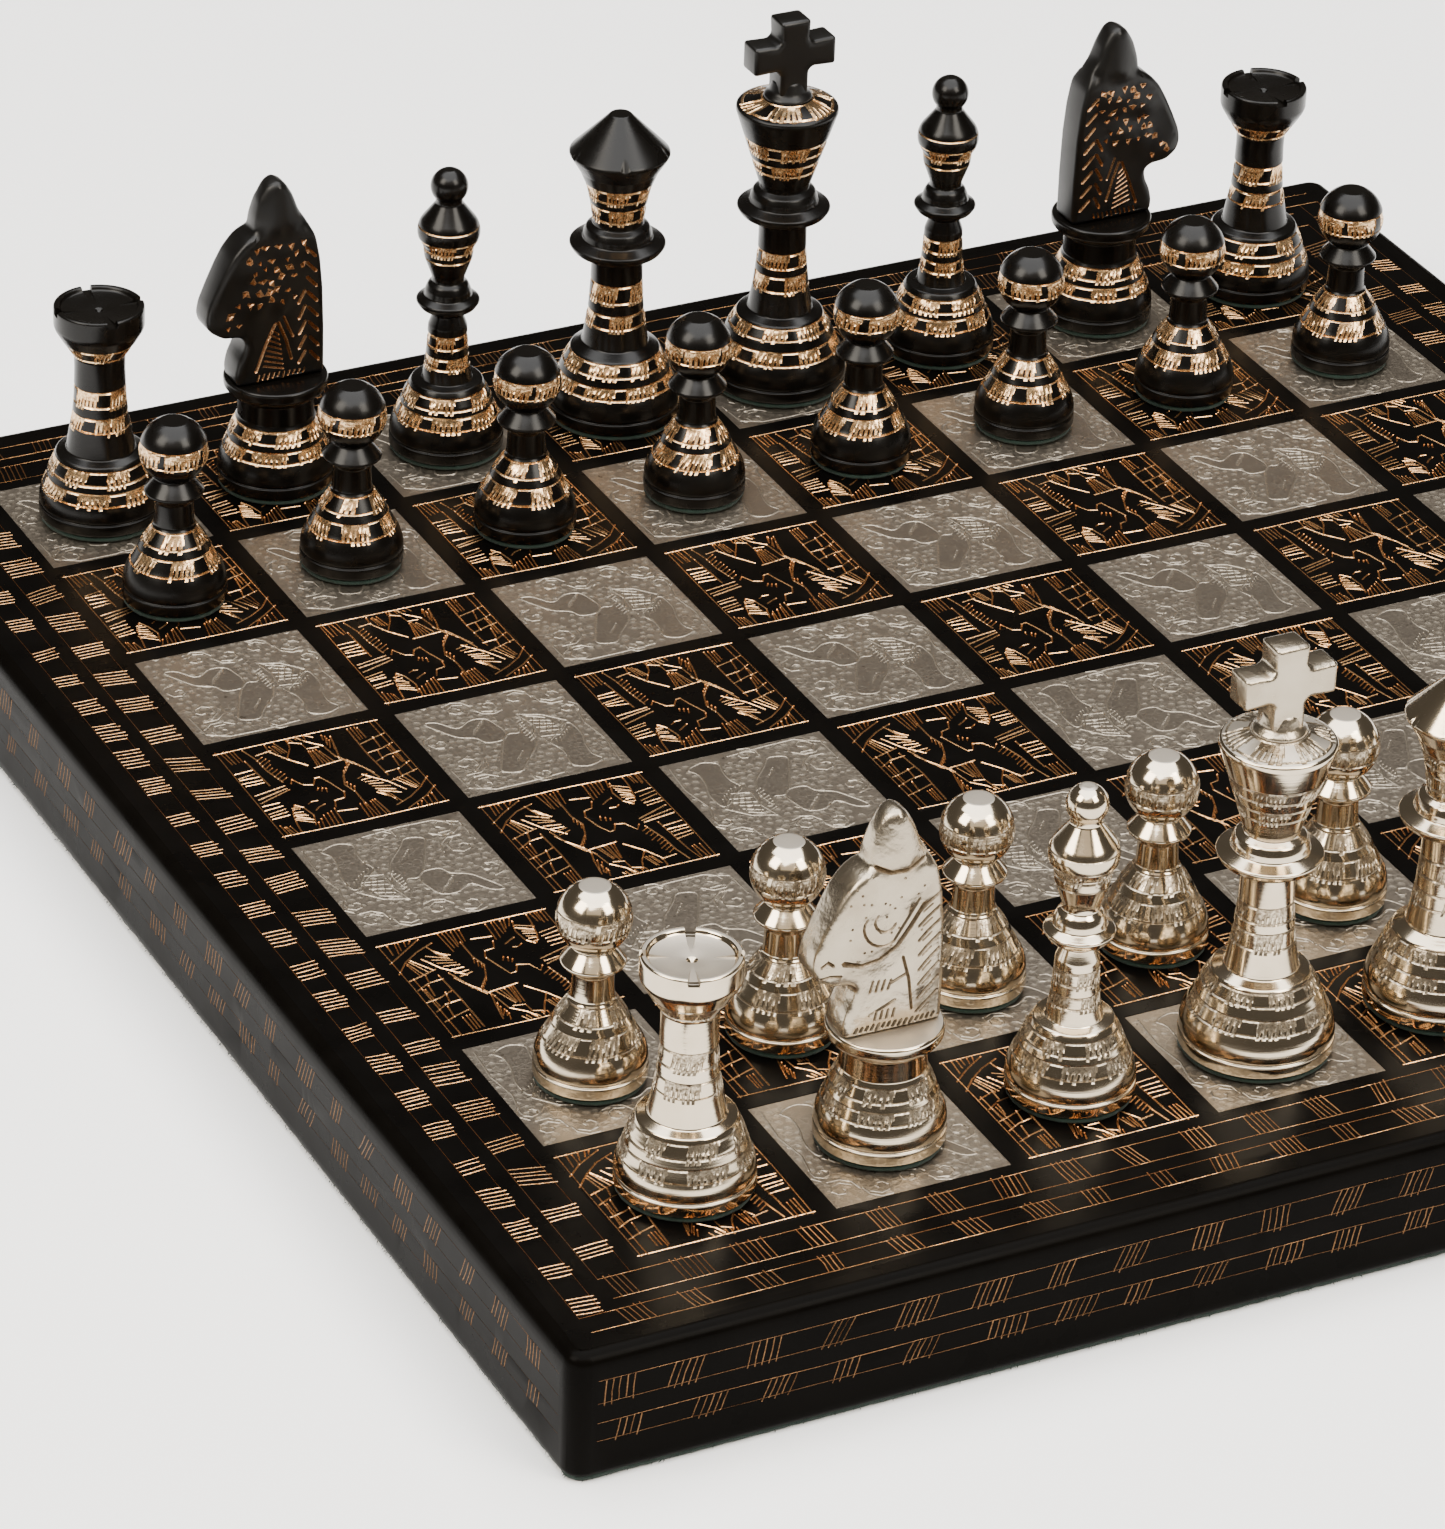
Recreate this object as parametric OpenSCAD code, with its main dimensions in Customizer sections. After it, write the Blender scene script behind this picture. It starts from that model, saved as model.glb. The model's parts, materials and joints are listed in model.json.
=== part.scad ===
// Brass chess set on its board: 32 turned and cast men on an engraved board of 64 squares.
// The origin is the centre of the board's underside. +X runs from file a to file h,
// +Y from the light side to the dark side, and +Z up. Millimetres.

/* [Board] */
// Side of the square board
board_w = 304.8; // [290:0.1:320]
// Height of the board, base felt included
board_h = 22.5; // [18:0.5:30]
// Side of one square, gap included
pitch = 33.3; // [32:0.1:34]
// Width of the lacquered strip between two squares
gap = 3.1; // [1:0.1:6]
// Thickness of the metal top and its squares
sheet_t = 1.2; // [0.8:0.1:1.6]
// Thickness of the band round the sides
band_t = 2.4; // [2.3:0.1:3]
// Thickness of the board's base felt
board_felt = 1.0; // [0.5:0.1:2]
// Radius of the board's upright corners
corner_r = 3.4; // [3.1:0.1:6]
// Radius of the rounded top edge
edge_r = 2.2; // [0.5:0.1:2.2]

/* [Men: heights] */
// Height of a pawn
pawn_h = 34.8; // [32:0.1:38]
// Height of a rook
rook_h = 41.3; // [39:0.1:45]
// Height of a knight
knight_h = 59.5; // [57:0.1:62]
// Height of a bishop
bishop_h = 55.0; // [53:0.1:58]
// Height of a queen
queen_h = 59.6; // [57:0.1:62]
// Height of a king without its cross
crown_h = 57.0; // [55:0.1:60]

/* [Men: base radii] */
// Radius of a pawn's foot
pawn_r = 9.1; // [8.6:0.1:9.6]
// Radius of a rook's foot
rook_r = 11.0; // [10.4:0.1:11.6]
// Radius of a knight's foot
knight_r = 10.4; // [10:0.1:11]
// Radius of a bishop's foot
bishop_r = 10.3; // [9.8:0.1:11]
// Radius of a queen's foot
queen_r = 12.0; // [11.4:0.1:12.6]
// Radius of a king's foot
king_r = 12.4; // [11.8:0.1:13]

/* [Crosses and knights' heads] */
// Height of a king's cross above its crown
cross_h = 15.6; // [13:0.1:18]
// Width across a cross's arms
cross_w = 16.2; // [14:0.1:18]
// Thickness of a cross
cross_t = 5.4; // [4:0.1:6]
// Thickness of a knight's head
head_t = 8.4; // [7:0.1:9.5]
// Radius of the stud that holds a cross or a head
stud_r = 1.5; // [1:0.1:2]
// Length of that stud
stud_l = 4.0; // [2:0.1:5]

/* [Hidden] */
// Felt under each man, and the gap that keeps it just off the board
felt_t = 1.0;
rest_gap = 0.02;
// Gap left between a felt and the metal above it
glue_gap = 0.02;
// Height of the upright wall of each foot, where its turned groove begins
foot_h = 3.1;
groove = 0.35;
// Height where the bell begins
bell_z = foot_h + 0.6;
// Radial clearance of a stud in its hole
stud_play = 0.05;
// Height of the collar that a knight's head stands on
collar_z = 21.4;

band_h = board_h - board_felt;
core_h = band_h - sheet_t;
tile_w = pitch - gap;
stand_z = board_h + rest_gap;

FILES = "abcdefgh";
// Back rows from file a to file h; the light king and queen stand on each other's usual squares
DARK_ROW = ["rook", "knight", "bishop", "queen", "king", "bishop", "knight", "rook"];
LIGHT_ROW = ["rook", "knight", "bishop", "king", "queen", "bishop", "knight", "rook"];
SIDES = ["light", "dark"];

LACQUER = "#24211f";
NICKEL = "#d8cdb8";
ENGRAVED = "#8a6a44";
FELT = "#1f5a3a";
CORE = "#9b7b53";

function rank(side, row) = side == "light" ? row : 9 - row;
function back_row(side) = side == "light" ? LIGHT_ROW : DARK_ROW;
function metal(side) = side == "light" ? NICKEL : LACQUER;
function square_x(f) = (f - 3.5) * pitch;
function square_y(side, row) = (rank(side, row) - 4.5) * pitch;
function man_name(side, kind, f, row) = str(side, "_", kind, "_", FILES[f], rank(side, row));
function king_file(side) = side == "light" ? 3 : 4;

BOARD_NODES = ["wood_core", "top_plate", "edge_band", "light_squares", "dark_squares", "base_felt"];
MEN_NODES = [
    for (side = SIDES) for (f = [0:7]) man_name(side, back_row(side)[f], f, 1),
    for (side = SIDES) for (f = [0:7]) man_name(side, "pawn", f, 2)
];
FELT_NODES = [for (side = SIDES) for (f = [0:7]) str(man_name(side, back_row(side)[f], f, 1), "_felt")];
HEAD_NODES = [for (side = SIDES) for (f = [1, 6]) str(man_name(side, "knight", f, 1), "_head")];
CROSS_NODES = [for (side = SIDES) str(side, "_king_cross")];

// ---- outlines, as [radius, height] points from the axis at the foot to the axis at the top ----

// Points along an arc about c, from angle a to angle b
function arc(c, r, a, b, steps = 6) =
    [for (i = [0:steps]) c + r * [cos(a + (b - a) * i / steps), sin(a + (b - a) * i / steps)]];

// Foot, turned groove, round bell and the two sloping band seats: b is the foot's radius,
// k sets how far the shoulder draws in and h how high it rises
function base_line(b, k, h) = concat(
    [[0, felt_t], [b - 0.3, felt_t], [b, felt_t + 0.3], [b, foot_h]],
    [[b - groove, foot_h + 0.15], [b - groove, foot_h + 0.45], [b - 0.05, bell_z]],
    [for (t = [0.25:0.25:1]) [b - 0.05 - (1.15 * k - 0.05) * t * t, bell_z + (7.6 * h - bell_z) * t]],
    [[b - 2.0 * k, 9.7 * h], [b - 2.6 * k, 11.2 * h], [b - 3.6 * k, 13.1 * h], [b - 4.0 * k, 13.8 * h]]
);

// Stepped ring and thin collar around a stem at height z: r is the collar's radius, s the
// step's and n the neck's above it
function collar_line(z, r, s, n) = [
    [r - 3.0, z - 2.6], [r - 0.7, z - 1.1], [r, z], [r - 0.1, z + 0.4], [s + 0.1, z + 1.1],
    [s, z + 2.2], [s - 0.5, z + 3.4], [n, z + 4.0]
];

function pawn_line(b, h) = concat(
    base_line(b, 1.4, 1.1),
    [[3.4, 16.6], [3.3, h - 15.2], [4.0, h - 14.2], [5.1, h - 13.7], [5.25, h - 13.2], [3.9, h - 11.6]],
    [[3.3, h - 10.9]],
    arc([0, h - 5.6], 6.0, -57, 66.5, 10),
    [[0, h - 0.1]]
);

function rook_line(b, h) = concat(
    base_line(b, 0.8, 0.95),
    [[6.1, 13.6], [5.3, 18.4], [4.9, 20.6], [4.6, 24.0], [4.45, h - 12.0], [4.5, h - 9.6]],
    [[5.0, h - 8.8], [6.3, h - 6.8], [7.7, h - 4.4], [7.95, h - 3.6], [7.95, h - 0.3], [7.7, h]],
    [[6.6, h], [6.3, h - 0.8], [0.5, h - 1.9], [0, h - 2.2]]
);

function knight_line(b) = concat(
    base_line(b, 0.9, 1.0),
    [[6.8, 14.0], [6.8, 17.6], [8.6, 18.8], [9.2, 19.6], [9.3, collar_z - 0.4], [9.0, collar_z]],
    [[0, collar_z]]
);

function bishop_line(b, h) = concat(
    base_line(b, 1.0, 1.0),
    [[4.5, 14.0], [4.0, 17.3], [3.75, 20.0], [3.5, 24.5]],
    collar_line(h - 25.6, 5.7, 4.1, 2.9),
    [[3.0, h - 20.6], [4.3, h - 17.0]],
    arc([1.6, h - 11.9], 4.0, -42, 38, 6),
    [[2.4, h - 6.4]],
    arc([0, h - 3.3], 3.35, -42, 74, 7),
    [[0, h - 0.1]]
);

function queen_line(b, h) = concat(
    base_line(b, 1.0, 1.0),
    [[6.0, 14.9], [5.4, 19.1], [5.0, 22.0], [4.7, 26.8], [4.6, 31.4]],
    collar_line(h - 25.3, 8.7, 6.2, 4.55),
    [[5.1, h - 17.3], [5.8, h - 14.0], [7.1, h - 10.8], [8.95, h - 7.8], [9.1, h - 7.3]],
    [[8.6, h - 6.8], [2.2, h - 0.3], [1.9, h], [0, h]]
);

function king_line(b, h) = concat(
    base_line(b, 1.15, 1.05),
    [[5.9, 15.1], [5.1, 20.0], [4.65, 24.2], [4.4, 27.4], [4.35, 32.4]],
    collar_line(h - 21.7, 8.5, 6.1, 4.4),
    [[9.3, h - 2.4], [9.2, h - 1.7], [8.7, h - 1.5], [4.6, h], [0, h]]
);

module turned(line) {
    rotate_extrude($fn = 96) polygon(line);
}

// ---- men, each drawn on the origin ----

module pawn(side) {
    color(metal(side)) turned(pawn_line(pawn_r, pawn_h));
    felt_pad(pawn_r);
}

// Four square notches through the battlement's thin rim
module rook(side) {
    notch_w = 1.7;
    notch_d = 1.1;
    turn = side == "dark" ? -4 : -24;
    color(metal(side)) difference() {
        turned(rook_line(rook_r, rook_h));
        for (a = [0, 90]) rotate([0, 0, a + turn])
            translate([-rook_r, -notch_w / 2, rook_h - notch_d]) cube([2 * rook_r, notch_w, 2 * notch_d]);
    }
}

// Turned base of a knight, with the hole for its head's stud
module knight(side) {
    color(metal(side)) difference() {
        turned(knight_line(knight_r));
        stud_hole(collar_z);
    }
}

module bishop(side) {
    color(metal(side)) turned(bishop_line(bishop_r, bishop_h));
}

// Five round grooves filed down the crown's cone, deepest where they cross its rim
module queen(side) {
    groove_r = 1.9;
    groove_l = 11;
    groove_angle = 54;
    turn = 35;
    color(metal(side)) difference() {
        turned(queen_line(queen_r, queen_h));
        for (i = [0:4]) rotate([0, 0, turn + 72 * i]) translate([5.3, 0, queen_h - 0.5])
            rotate([0, 90 + groove_angle, 0]) cylinder(r = groove_r, h = groove_l, $fn = 40);
    }
}

module king(side) {
    color(metal(side)) difference() {
        turned(king_line(king_r, crown_h));
        stud_hole(crown_h);
    }
}

module stud_hole(z) {
    translate([0, 0, z - stud_l - 0.3]) cylinder(r = stud_r + stud_play, h = stud_l + 1, $fn = 40);
}

module stud(z) {
    translate([0, 0, z - stud_l]) cylinder(r = stud_r, h = stud_l + 1, $fn = 40);
}

module felt_pad(b) {
    color(FELT) cylinder(r = b - 0.4, h = felt_t - glue_gap, $fn = 96);
}

// Flat cast horse's head, seen from the side with its nose along -X
HEAD_LINE = [
    [-8.0, 0], [-7.8, 1.6], [-6.4, 3.8], [-5.6, 5.6], [-6.4, 7.2], [-9.6, 7.6], [-13.2, 9.4],
    [-14.3, 11.4], [-14.0, 13.8], [-12.2, 17.2], [-10.3, 21.2], [-8.8, 24.6], [-6.4, 27.4],
    [-3.8, 28.8], [-3.4, 31.6], [-2.6, 34.6], [-1.2, 37.2], [-0.2, 37.6], [1.0, 36.6], [2.2, 34.0],
    [2.8, 31.8], [4.6, 30.4], [6.3, 26.8], [7.3, 22.2], [7.8, 16.6], [8.0, 8.6], [8.0, 0]
];
head_nominal_h = 37.6;

module knight_head(side) {
    stretch = (knight_h - collar_z) / head_nominal_h;
    color(metal(side)) {
        translate([0, head_t / 2, collar_z]) rotate([90, 0, 0])
            linear_extrude(head_t) polygon([for (p = HEAD_LINE) [p[0], p[1] * stretch]]);
        stud(collar_z);
    }
}

// Cast cross: a filleted plus on a round flared foot
module cross(side) {
    arm_z = 0.56 * cross_h;
    arm = 2.5;
    post = 2.8;
    color(metal(side)) {
        translate([0, cross_t / 2, crown_h]) rotate([90, 0, 0]) linear_extrude(cross_t) {
            translate([-cross_w / 2, arm_z - arm]) square([cross_w, 2 * arm]);
            translate([-post, 0]) square([2 * post, cross_h]);
            for (x = [0, 1]) for (y = [0, 1]) translate([0, arm_z])
                mirror([x, 0]) mirror([0, y]) translate([post, arm]) inner_fillet(2.0);
        }
        translate([0, 0, crown_h]) rotate_extrude($fn = 96)
            polygon([[0, 0], [4.4, 0], [4.4, 0.5], [3.5, 1.4], [2.9, 3.4], [0, 3.4]]);
        stud(crown_h);
    }
}

// Concave fillet that fills an inner corner at the origin
module inner_fillet(r) {
    difference() {
        translate([-0.1, -0.1]) square(r + 0.1);
        translate([r, r]) circle(r = r, $fn = 40);
    }
}

module man(side, kind) {
    if (kind == "rook") rook(side);
    if (kind == "knight") knight(side);
    if (kind == "bishop") bishop(side);
    if (kind == "queen") queen(side);
    if (kind == "king") king(side);
    if (kind == "pawn") pawn(side);
}

function foot_radius(kind) =
    kind == "rook" ? rook_r :
    kind == "knight" ? knight_r :
    kind == "bishop" ? bishop_r :
    kind == "queen" ? queen_r : king_r;

// Puts a man on the square at file f and row 1 or 2 of its own side
module on_square(side, f, row) {
    translate([square_x(f), square_y(side, row), stand_z]) children();
}

// ---- board ----

module rounded_plate(w, h, r) {
    linear_extrude(h) union() {
        square([w - 2 * r, w], center = true);
        square([w, w - 2 * r], center = true);
        for (x = [-1, 1]) for (y = [-1, 1]) translate([x, y] * (w / 2 - r)) circle(r = r, $fn = 48);
    }
}

module wood_core() {
    color(CORE) translate([0, 0, board_felt])
        rounded_plate(board_w - 2 * band_t, core_h, corner_r - band_t);
}

module base_felt() {
    color(FELT) rounded_plate(board_w - 1.0, board_felt, corner_r - 0.5);
}

// Lacquered sheet with a square window for each inlaid square
module top_plate() {
    color(LACQUER) translate([0, 0, board_h - sheet_t]) difference() {
        rounded_plate(board_w - 2 * band_t, sheet_t, corner_r - band_t);
        for (f = [0:7]) for (r = [0:7]) translate([square_x(f) - tile_w / 2, square_x(r) - tile_w / 2, -1])
            cube([tile_w, tile_w, sheet_t + 2]);
    }
}

// The inlaid squares of one colour: parity 0 holds the corner at file a, row 1
module squares(parity) {
    for (f = [0:7]) for (r = [0:7]) if ((f + r) % 2 == parity)
        translate([square_x(f) - tile_w / 2, square_x(r) - tile_w / 2, board_h - sheet_t])
            cube([tile_w, tile_w, sheet_t]);
}

module light_squares() {
    color(NICKEL) squares(1);
}

module dark_squares() {
    color(ENGRAVED) squares(0);
}

// Band round the four sides and corners, rounded over at its top edge
module edge_band() {
    straight = board_w - 2 * corner_r;
    color(LACQUER) for (a = [0:90:270]) rotate([0, 0, a]) {
        translate([-straight / 2, -board_w / 2, board_felt]) rotate([90, 0, 90])
            linear_extrude(straight) band_section();
        translate([straight / 2, -straight / 2, board_felt]) rotate([0, 0, -90])
            rotate_extrude(angle = 90, $fn = 48) translate([corner_r, 0]) mirror([1, 0]) band_section();
    }
}

// Cross-section of the band, with its outer face on the Y axis
module band_section() {
    square([band_t, band_h - edge_r]);
    translate([edge_r, 0]) square([band_t - edge_r, band_h]);
    intersection() {
        translate([edge_r, band_h - edge_r]) circle(r = edge_r, $fn = 40);
        translate([0, band_h - edge_r]) square(edge_r);
    }
}

wood_core();
top_plate();
edge_band();
light_squares();
dark_squares();
base_felt();
for (side = SIDES) for (f = [0:7]) {
    on_square(side, f, 1) man(side, back_row(side)[f]);
    on_square(side, f, 1) felt_pad(foot_radius(back_row(side)[f]));
    on_square(side, f, 2) pawn(side);
}
for (side = SIDES) for (f = [1, 6])
    on_square(side, f, 1) rotate([0, 0, f == 1 ? 0 : 180]) knight_head(side);
for (side = SIDES)
    on_square(side, king_file(side), 1) cross(side);
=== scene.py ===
import json
import math
import random

import bpy
import numpy as np
from mathutils import Matrix, Vector
from mathutils.geometry import delaunay_2d_cdt

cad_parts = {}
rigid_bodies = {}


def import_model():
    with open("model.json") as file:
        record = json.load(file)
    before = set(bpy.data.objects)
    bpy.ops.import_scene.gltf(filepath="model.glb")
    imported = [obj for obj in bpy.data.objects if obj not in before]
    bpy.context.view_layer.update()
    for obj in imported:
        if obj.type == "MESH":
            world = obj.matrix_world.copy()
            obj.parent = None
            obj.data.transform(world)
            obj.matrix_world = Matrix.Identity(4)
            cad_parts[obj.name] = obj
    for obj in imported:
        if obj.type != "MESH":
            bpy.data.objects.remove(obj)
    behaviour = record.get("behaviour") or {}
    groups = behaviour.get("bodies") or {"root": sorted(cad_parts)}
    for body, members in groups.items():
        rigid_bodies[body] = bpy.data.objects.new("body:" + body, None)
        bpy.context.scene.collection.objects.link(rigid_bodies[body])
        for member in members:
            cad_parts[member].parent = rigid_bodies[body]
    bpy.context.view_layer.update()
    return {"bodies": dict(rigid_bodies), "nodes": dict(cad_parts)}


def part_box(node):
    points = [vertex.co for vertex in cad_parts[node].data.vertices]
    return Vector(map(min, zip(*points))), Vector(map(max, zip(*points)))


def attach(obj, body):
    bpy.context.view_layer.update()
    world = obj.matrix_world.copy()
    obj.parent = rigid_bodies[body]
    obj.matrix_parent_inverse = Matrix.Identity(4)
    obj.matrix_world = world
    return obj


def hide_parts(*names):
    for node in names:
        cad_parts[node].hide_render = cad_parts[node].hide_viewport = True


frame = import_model()

# Shapes are worked out in millimetres and turned into metres when their meshes are made.
MM = 0.001
FILES = "abcdefgh"


# ---- sizes, from the frame ----

def corners(node):
    low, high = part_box(node)
    return np.array(low) / MM, np.array(high) / MM


def centre(node):
    low, high = corners(node)
    return (low + high) / 2


def span(node):
    low, high = corners(node)
    return high - low


def man_at(square):
    """The name of the man that stands on a square, such as a1."""
    return next(n for n in frame["bodies"] if n.endswith("_" + square))


board_w = span("edge_band")[0]
board_h = corners("top_plate")[1][2]
plate_w = span("top_plate")[0]
sheet_t = span("top_plate")[2]
band_t = (board_w - plate_w) / 2
felt_h = corners("edge_band")[0][2]
pitch = (centre(man_at("h1"))[0] - centre(man_at("a1"))[0]) / 7
gap = 8 * pitch - span("light_squares")[0]
tile_w = pitch - gap
corner_r = 3.4
edge_r = 2.2


# ---- meshes ----

def build_mesh(name, points, groups, materials, sharp=28, wear=None):
    """A mesh object from points in millimetres and groups of (faces, material number of each)."""
    mesh = bpy.data.meshes.new(name)
    loops = np.concatenate([np.asarray(f).ravel() for f, _ in groups]).astype(np.int32)
    sizes = np.concatenate([np.full(len(f), np.asarray(f).shape[1]) for f, _ in groups])
    slots = np.concatenate([np.broadcast_to(m, len(f)) for f, m in groups]).astype(np.int32)
    mesh.vertices.add(len(points))
    mesh.vertices.foreach_set("co", (np.asarray(points) * MM).astype(np.float32).ravel())
    mesh.loops.add(len(loops))
    mesh.loops.foreach_set("vertex_index", loops)
    mesh.polygons.add(len(sizes))
    mesh.polygons.foreach_set("loop_start", np.concatenate([[0], np.cumsum(sizes)[:-1]]).astype(np.int32))
    mesh.polygons.foreach_set("material_index", slots)
    mesh.polygons.foreach_set("use_smooth", np.ones(len(sizes), bool))
    # The mark that lightens worn corners: part rubbed wear and part painted edge highlight.
    if wear is not None:
        edge_wear_and_highlight = mesh.attributes.new("wear", "FLOAT", "POINT")
        edge_wear_and_highlight.data.foreach_set("value", np.asarray(wear, np.float32))
    for metal in materials:
        mesh.materials.append(metal)
    mesh.update(calc_edges=True)
    mesh.validate()
    mesh.set_sharp_from_angle(angle=math.radians(sharp))
    if len(materials) > 1:
        part_cuts(mesh)
    made = bpy.data.objects.new(name, mesh)
    bpy.context.scene.collection.objects.link(made)
    return made


def part_cuts(mesh):
    """Marks every edge between two materials as sharp, so that a cut keeps its crisp border."""
    edge = np.zeros(len(mesh.loops), np.int32)
    slots = np.zeros(len(mesh.polygons), np.int32)
    sizes = np.zeros(len(mesh.polygons), np.int32)
    mesh.loops.foreach_get("edge_index", edge)
    mesh.polygons.foreach_get("material_index", slots)
    mesh.polygons.foreach_get("loop_total", sizes)
    of_loop = np.repeat(slots, sizes)
    least = np.full(len(mesh.edges), 99)
    most = np.full(len(mesh.edges), -1)
    np.minimum.at(least, edge, of_loop)
    np.maximum.at(most, edge, of_loop)
    sharp = np.zeros(len(mesh.edges), bool)
    mesh.edges.foreach_get("use_edge_sharp", sharp)
    mesh.edges.foreach_set("use_edge_sharp", sharp | (least != most))


def rim_of(triangles):
    """The edges that only one triangle has, each in that triangle's direction."""
    edges = np.concatenate([triangles[:, [0, 1]], triangles[:, [1, 2]], triangles[:, [2, 0]]])
    _, where, count = np.unique(np.sort(edges, axis=1), axis=0, return_index=True, return_counts=True)
    return edges[where[count == 1]]


def round_faces(rows, columns):
    """Faces of a round solid: quads between its rows, and fans to the first and the last point."""
    index = 1 + np.arange(rows * columns).reshape(rows, columns)
    right = np.roll(index, -1, axis=1)
    quads = np.stack([index[:-1], right[:-1], right[1:], index[1:]], axis=-1).reshape(-1, 4)
    under = np.stack([np.zeros(columns, int), right[0], index[0]], axis=-1)
    over = np.stack([np.full(columns, 1 + rows * columns), index[-1], right[-1]], axis=-1)
    return quads, under, over


def place(piece, x, y, z, turn=0.0):
    piece.location = (x * MM, y * MM, z * MM)
    piece.rotation_euler = (0, 0, math.radians(turn))
    bpy.context.view_layer.update()


def stand_for(piece, body, node):
    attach(piece, body)
    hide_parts(node)


# ---- engraving: strokes cut into a flat sheet, which is then bent or thickened ----

def stroke(points, width, depth):
    """A V-shaped cut along a line. Each end runs out to a point over half the cut's width."""
    return {"path": np.asarray(points, float), "half": width / 2, "depth": depth, "taper": width / 2}


def dimple(x, y, r, depth, sides, turn):
    """A pit with a few straight sides, deepest in its middle."""
    return {"path": np.array([[x, y]]), "half": r, "depth": depth, "sides": sides, "turn": turn}


def stroke_guides(cut):
    """The lines that the triangles round a cut have to follow: its two edges and its middle."""
    path, half = cut["path"], cut["half"]
    if len(path) == 1:
        around = [cut["turn"] + 2 * math.pi * i / cut["sides"] for i in range(cut["sides"])]
        rim = [path[0] + half * np.array([math.cos(a), math.sin(a)]) for a in around]
        return [rim + [rim[0]], [path[0]]]
    along = path[1:] - path[:-1]
    along /= np.maximum(np.linalg.norm(along, axis=1), 1e-9)[:, None]
    at = np.vstack([along[:1], (along[1:] + along[:-1]) / 2, along[-1:]])
    at /= np.maximum(np.linalg.norm(at, axis=1), 1e-9)[:, None]
    side = np.column_stack([-at[:, 1], at[:, 0]]) * half * 1.01
    first = path[0] - at[0] * cut["taper"]
    last = path[-1] + at[-1] * cut["taper"]
    left, right = path + side, path - side
    outline = [first, *left, last, *right[::-1], first]
    return [outline, list(path)]


def stroke_segments(cuts):
    """Every straight piece of every cut as rows of x0, y0, x1, y1, half width, depth."""
    rows = []
    for cut in cuts:
        path = cut["path"]
        ends = path if len(path) > 1 else np.vstack([path, path])
        for a, b in zip(ends[:-1], ends[1:]):
            rows.append([*a, *b, cut["half"], cut["depth"]])
    return np.array(rows)


def depth_at(points, segments):
    """How deep the cuts are at some points: the deepest of the V-shaped cuts that reach there."""
    found = np.zeros(len(points))
    order = np.argsort(points[:, 0])
    across = points[order, 0]
    for x0, y0, x1, y1, half, depth in segments:
        first, last = np.searchsorted(across, (min(x0, x1) - half, max(x0, x1) + half))
        near = order[first:last]
        y = points[near, 1]
        near = near[(y > min(y0, y1) - half) & (y < max(y0, y1) + half)]
        if len(near) == 0:
            continue
        px, py = points[near, 0] - x0, points[near, 1] - y0
        dx, dy = x1 - x0, y1 - y0
        t = np.clip((px * dx + py * dy) / max(dx * dx + dy * dy, 1e-12), 0, 1)
        away = np.hypot(px - t * dx, py - t * dy)
        depths = np.clip(1 - away / half, 0, 1) * depth
        deeper = np.abs(depths) > np.abs(found[near])
        found[near[deeper]] = depths[deeper]
    return found


def engrave(guides, cuts, keep, loose=()):
    """Triangles over a sheet that follow its guides and its cuts.

    Returns the points, the triangles that keep() allows, and the depth at each point and triangle."""
    points, edges = [], []
    for line in [*guides, *[g for cut in cuts for g in stroke_guides(cut)]]:
        first = len(points)
        points += [Vector((float(p[0]), float(p[1]))) for p in line]
        edges += [(first + i, first + i + 1) for i in range(len(line) - 1)]
    points += [Vector((float(p[0]), float(p[1]))) for p in loose]
    made = delaunay_2d_cdt(points, edges, [], 0, 1e-4)
    flat = np.array([[p.x, p.y] for p in made[0]])
    triangles = np.array([t for t in made[2] if len(t) == 3])
    middles = flat[triangles].mean(axis=1)
    kept = keep(middles)
    triangles, middles = triangles[kept], middles[kept]
    used, triangles = np.unique(triangles, return_inverse=True)
    triangles = triangles.reshape(-1, 3)
    flat = flat[used]
    if not cuts:
        return flat, triangles, np.zeros(len(flat)), np.zeros(len(triangles))
    segments = stroke_segments(cuts)
    return flat, triangles, depth_at(flat, segments), depth_at(middles, segments)


def in_box(points, x0, x1, y0, y1):
    return (points[:, 0] > x0) & (points[:, 0] < x1) & (points[:, 1] > y0) & (points[:, 1] < y1)


def rectangle(x0, x1, y0, y1):
    return [(x0, y0), (x1, y0), (x1, y1), (x0, y1), (x0, y0)]


def inside(points, outline):
    """True for each point that is inside a closed outline."""
    shape = np.asarray(outline, float)
    within = np.zeros(len(points), bool)
    for (x0, y0), (x1, y1) in zip(shape, np.roll(shape, -1, axis=0)):
        if y0 == y1:
            continue
        crosses = (points[:, 1] > min(y0, y1)) & (points[:, 1] <= max(y0, y1))
        at = x0 + (points[:, 1] - y0) * (x1 - x0) / (y1 - y0)
        within ^= crosses & (points[:, 0] < at)
    return within


def distance_to(points, outline):
    """Distance from each point to a closed outline."""
    a = np.asarray(outline, float)
    ab = np.roll(a, -1, axis=0) - a
    length2 = np.maximum((ab ** 2).sum(1), 1e-12)
    p = points[:, None, :]
    t = np.clip(((p - a) * ab).sum(2) / length2, 0, 1)
    return np.linalg.norm(p - (a + t[..., None] * ab), axis=2).min(axis=1)


# ---- lines ----

def arc(c, r, a, b, steps=24):
    """Points along an arc about c, from angle a to angle b in degrees."""
    angles = [math.radians(a + (b - a) * i / steps) for i in range(steps + 1)]
    return [(c[0] + r * math.cos(t), c[1] + r * math.sin(t)) for t in angles]


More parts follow.
